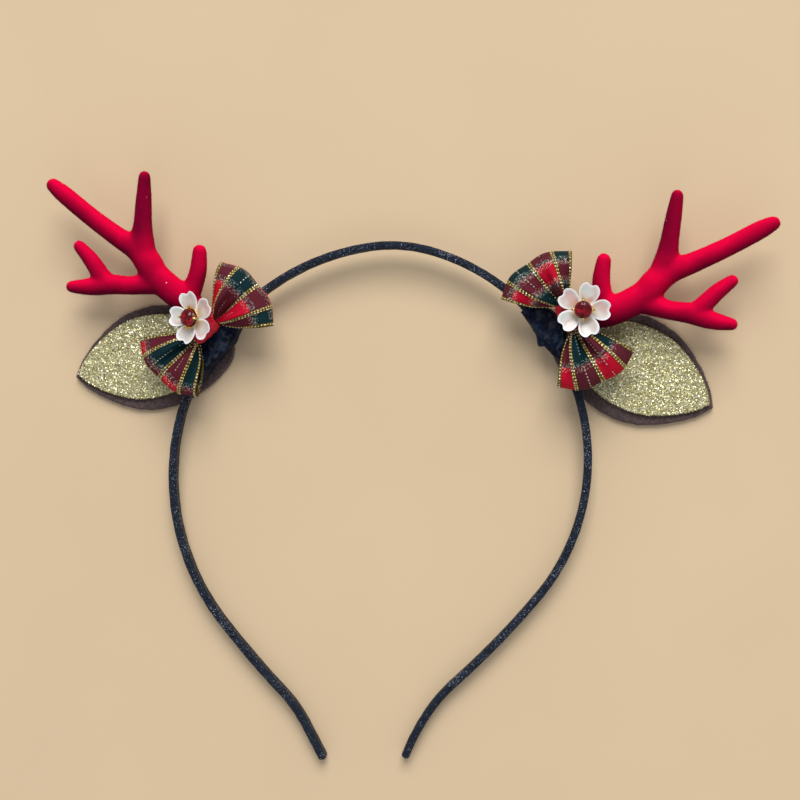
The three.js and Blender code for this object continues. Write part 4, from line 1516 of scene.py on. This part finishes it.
# %% Turn the cups and bend the claws
FLOWER_SEAT = 1.45
CUP_PROFILE = [
    (0.02, 0), (1.5, 0), (1.65, 0.1), (2.15, 1.3),
    (2.05, 1.36), (1.75, 1.3), (1.2, 0.5), (0.02, 0.5),
]
CUP_SIDES = 40
CLAWS = 4
CLAW_PATH = [(1.75, 0.55), (2.5, 1.1), (2.98, 1.75), (2.9, 2.35), (2.5, 2.75)]
CLAW_RADIUS = 0.34
CLAW_TAPER = (1.15, 0.85)
CLAW_STEPS = 16
CLAW_SIDES = 12


def circle(radius, z, sides, shift=0.0):
    """A level ring of points, turned by a share of one step."""
    angle = 2 * math.pi * (np.arange(sides) + shift) / sides
    return np.column_stack([radius * np.cos(angle), radius * np.sin(angle), np.full(sides, z)])


def make_setting(side, finish):
    wide = SIDES[side]["cup"]
    rows = [circle(radius + wide * min(1, z), z, CUP_SIDES) for radius, z in CUP_PROFILE]
    cup = (np.vstack(rows), grid_faces(len(rows), CUP_SIDES, ring_rows=True, ring_columns=True))
    claw = through([(x, 0, z, CLAW_RADIUS) for x, z in CLAW_PATH], CLAW_STEPS)
    claw[:, 3] *= np.linspace(*CLAW_TAPER, len(claw))
    points, faces = put_together([cup, *round_the_middle(*tube(claw, CLAW_SIDES), CLAWS)])
    placed = flower_to_shared(points + [0, 0, FLOWER_SEAT], side)
    setting = make_piece(f"{side}_gold_setting", placed, faces, finish)
    settle(close_up(setting, MERGE_FINE), "gold", f"{side}_setting")


on_both_sides(make_setting, gold_finish())

# %% Cut the stones
STONE_RINGS = [
    (0.5, 0.85, 0), (1.2, 1.25, 0.5), (2.42, 2.0, 0),
    (2.42, 2.2, 0), (2.05, 2.66, 0.5), (1.35, 3.05, 0),
]
STONE_SIDES = 16


def make_stone(side, finish):
    rows = [circle(radius, z, STONE_SIDES, shift) for radius, z, shift in STONE_RINGS]
    faces = []
    for a, b, above_b, above_a in grid_faces(len(rows), STONE_SIDES, ring_columns=True):
        faces.extend([[a, b, above_b], [a, above_b, above_a]])
    faces.extend(end_caps(len(rows), STONE_SIDES))
    points = flower_to_shared(np.vstack(rows) + [0, 0, FLOWER_SEAT], side)
    stone = make_piece(f"{side}_cut_stone", points, faces, finish, smooth=False)
    settle(close_up(stone), "stone", f"{side}_stone")


on_both_sides(make_stone, stone_finish())

# %% [markdown]
# ## Floor and light
# The floor is plain and pale. The key light comes from beyond the crown, as in the photograph, and is kept
# soft. A weak fill from the other side and a dim world lift the shadows. The lights stand far off, so they
# are placed in metres.


# %% The floor
def floor_finish():
    paper = Finish("pale_floor", {"Roughness": 0.95, "Specular IOR Level": 0.1})
    paper.dye(paper.noise(60.0), [(0.3, (0.7, 0.535, 0.345)), (0.7, (0.72, 0.55, 0.357))])
    return paper


FLOOR_HALF = 1500.0
FLOOR_Z = -0.15
floor_points = [(x * FLOOR_HALF, y * FLOOR_HALF, FLOOR_Z) for x, y in ((-1, -1), (1, -1), (1, 1), (-1, 1))]
floor = make_piece("floor", floor_points, [[0, 1, 2, 3]], floor_finish(), smooth=False)
print(f"floor {2 * FLOOR_HALF * MM:.0f} m wide")

# %% The lights
LIGHTS = {
    "key": {"place": (0.15, 2.1, 2.3), "size": 1.9, "power": 84.0, "colour": (1.0, 0.98, 0.96)},
    "fill": {"place": (0.3, -0.8, 1.5), "size": 1.2, "power": 3.0, "colour": (0.93, 0.96, 1.0)},
}
LIGHT_AIM = Vector((0, 0.03, 0))
ROOM_COLOUR = (0.9, 0.93, 1.0, 1.0)
ROOM_STRENGTH = 0.4


def area_light(name, place, size, power, colour):
    data = bpy.data.lights.new(name, "AREA")
    data.size = size
    data.energy = power
    data.color = colour
    made = link(name, data)
    made.location = place
    made.rotation_mode = "QUATERNION"
    made.rotation_quaternion = (LIGHT_AIM - Vector(place)).to_track_quat("-Z", "Y")
    print(f"{name} light of {power:.0f} W")


for name, values in LIGHTS.items():
    area_light(name, **values)
world = bpy.data.worlds.new("soft room")
world.use_nodes = True
room = world.node_tree.nodes["Background"].inputs
room["Color"].default_value = ROOM_COLOUR
room["Strength"].default_value = ROOM_STRENGTH
bpy.context.scene.world = world
bpy.context.scene.view_settings.view_transform = "Standard"
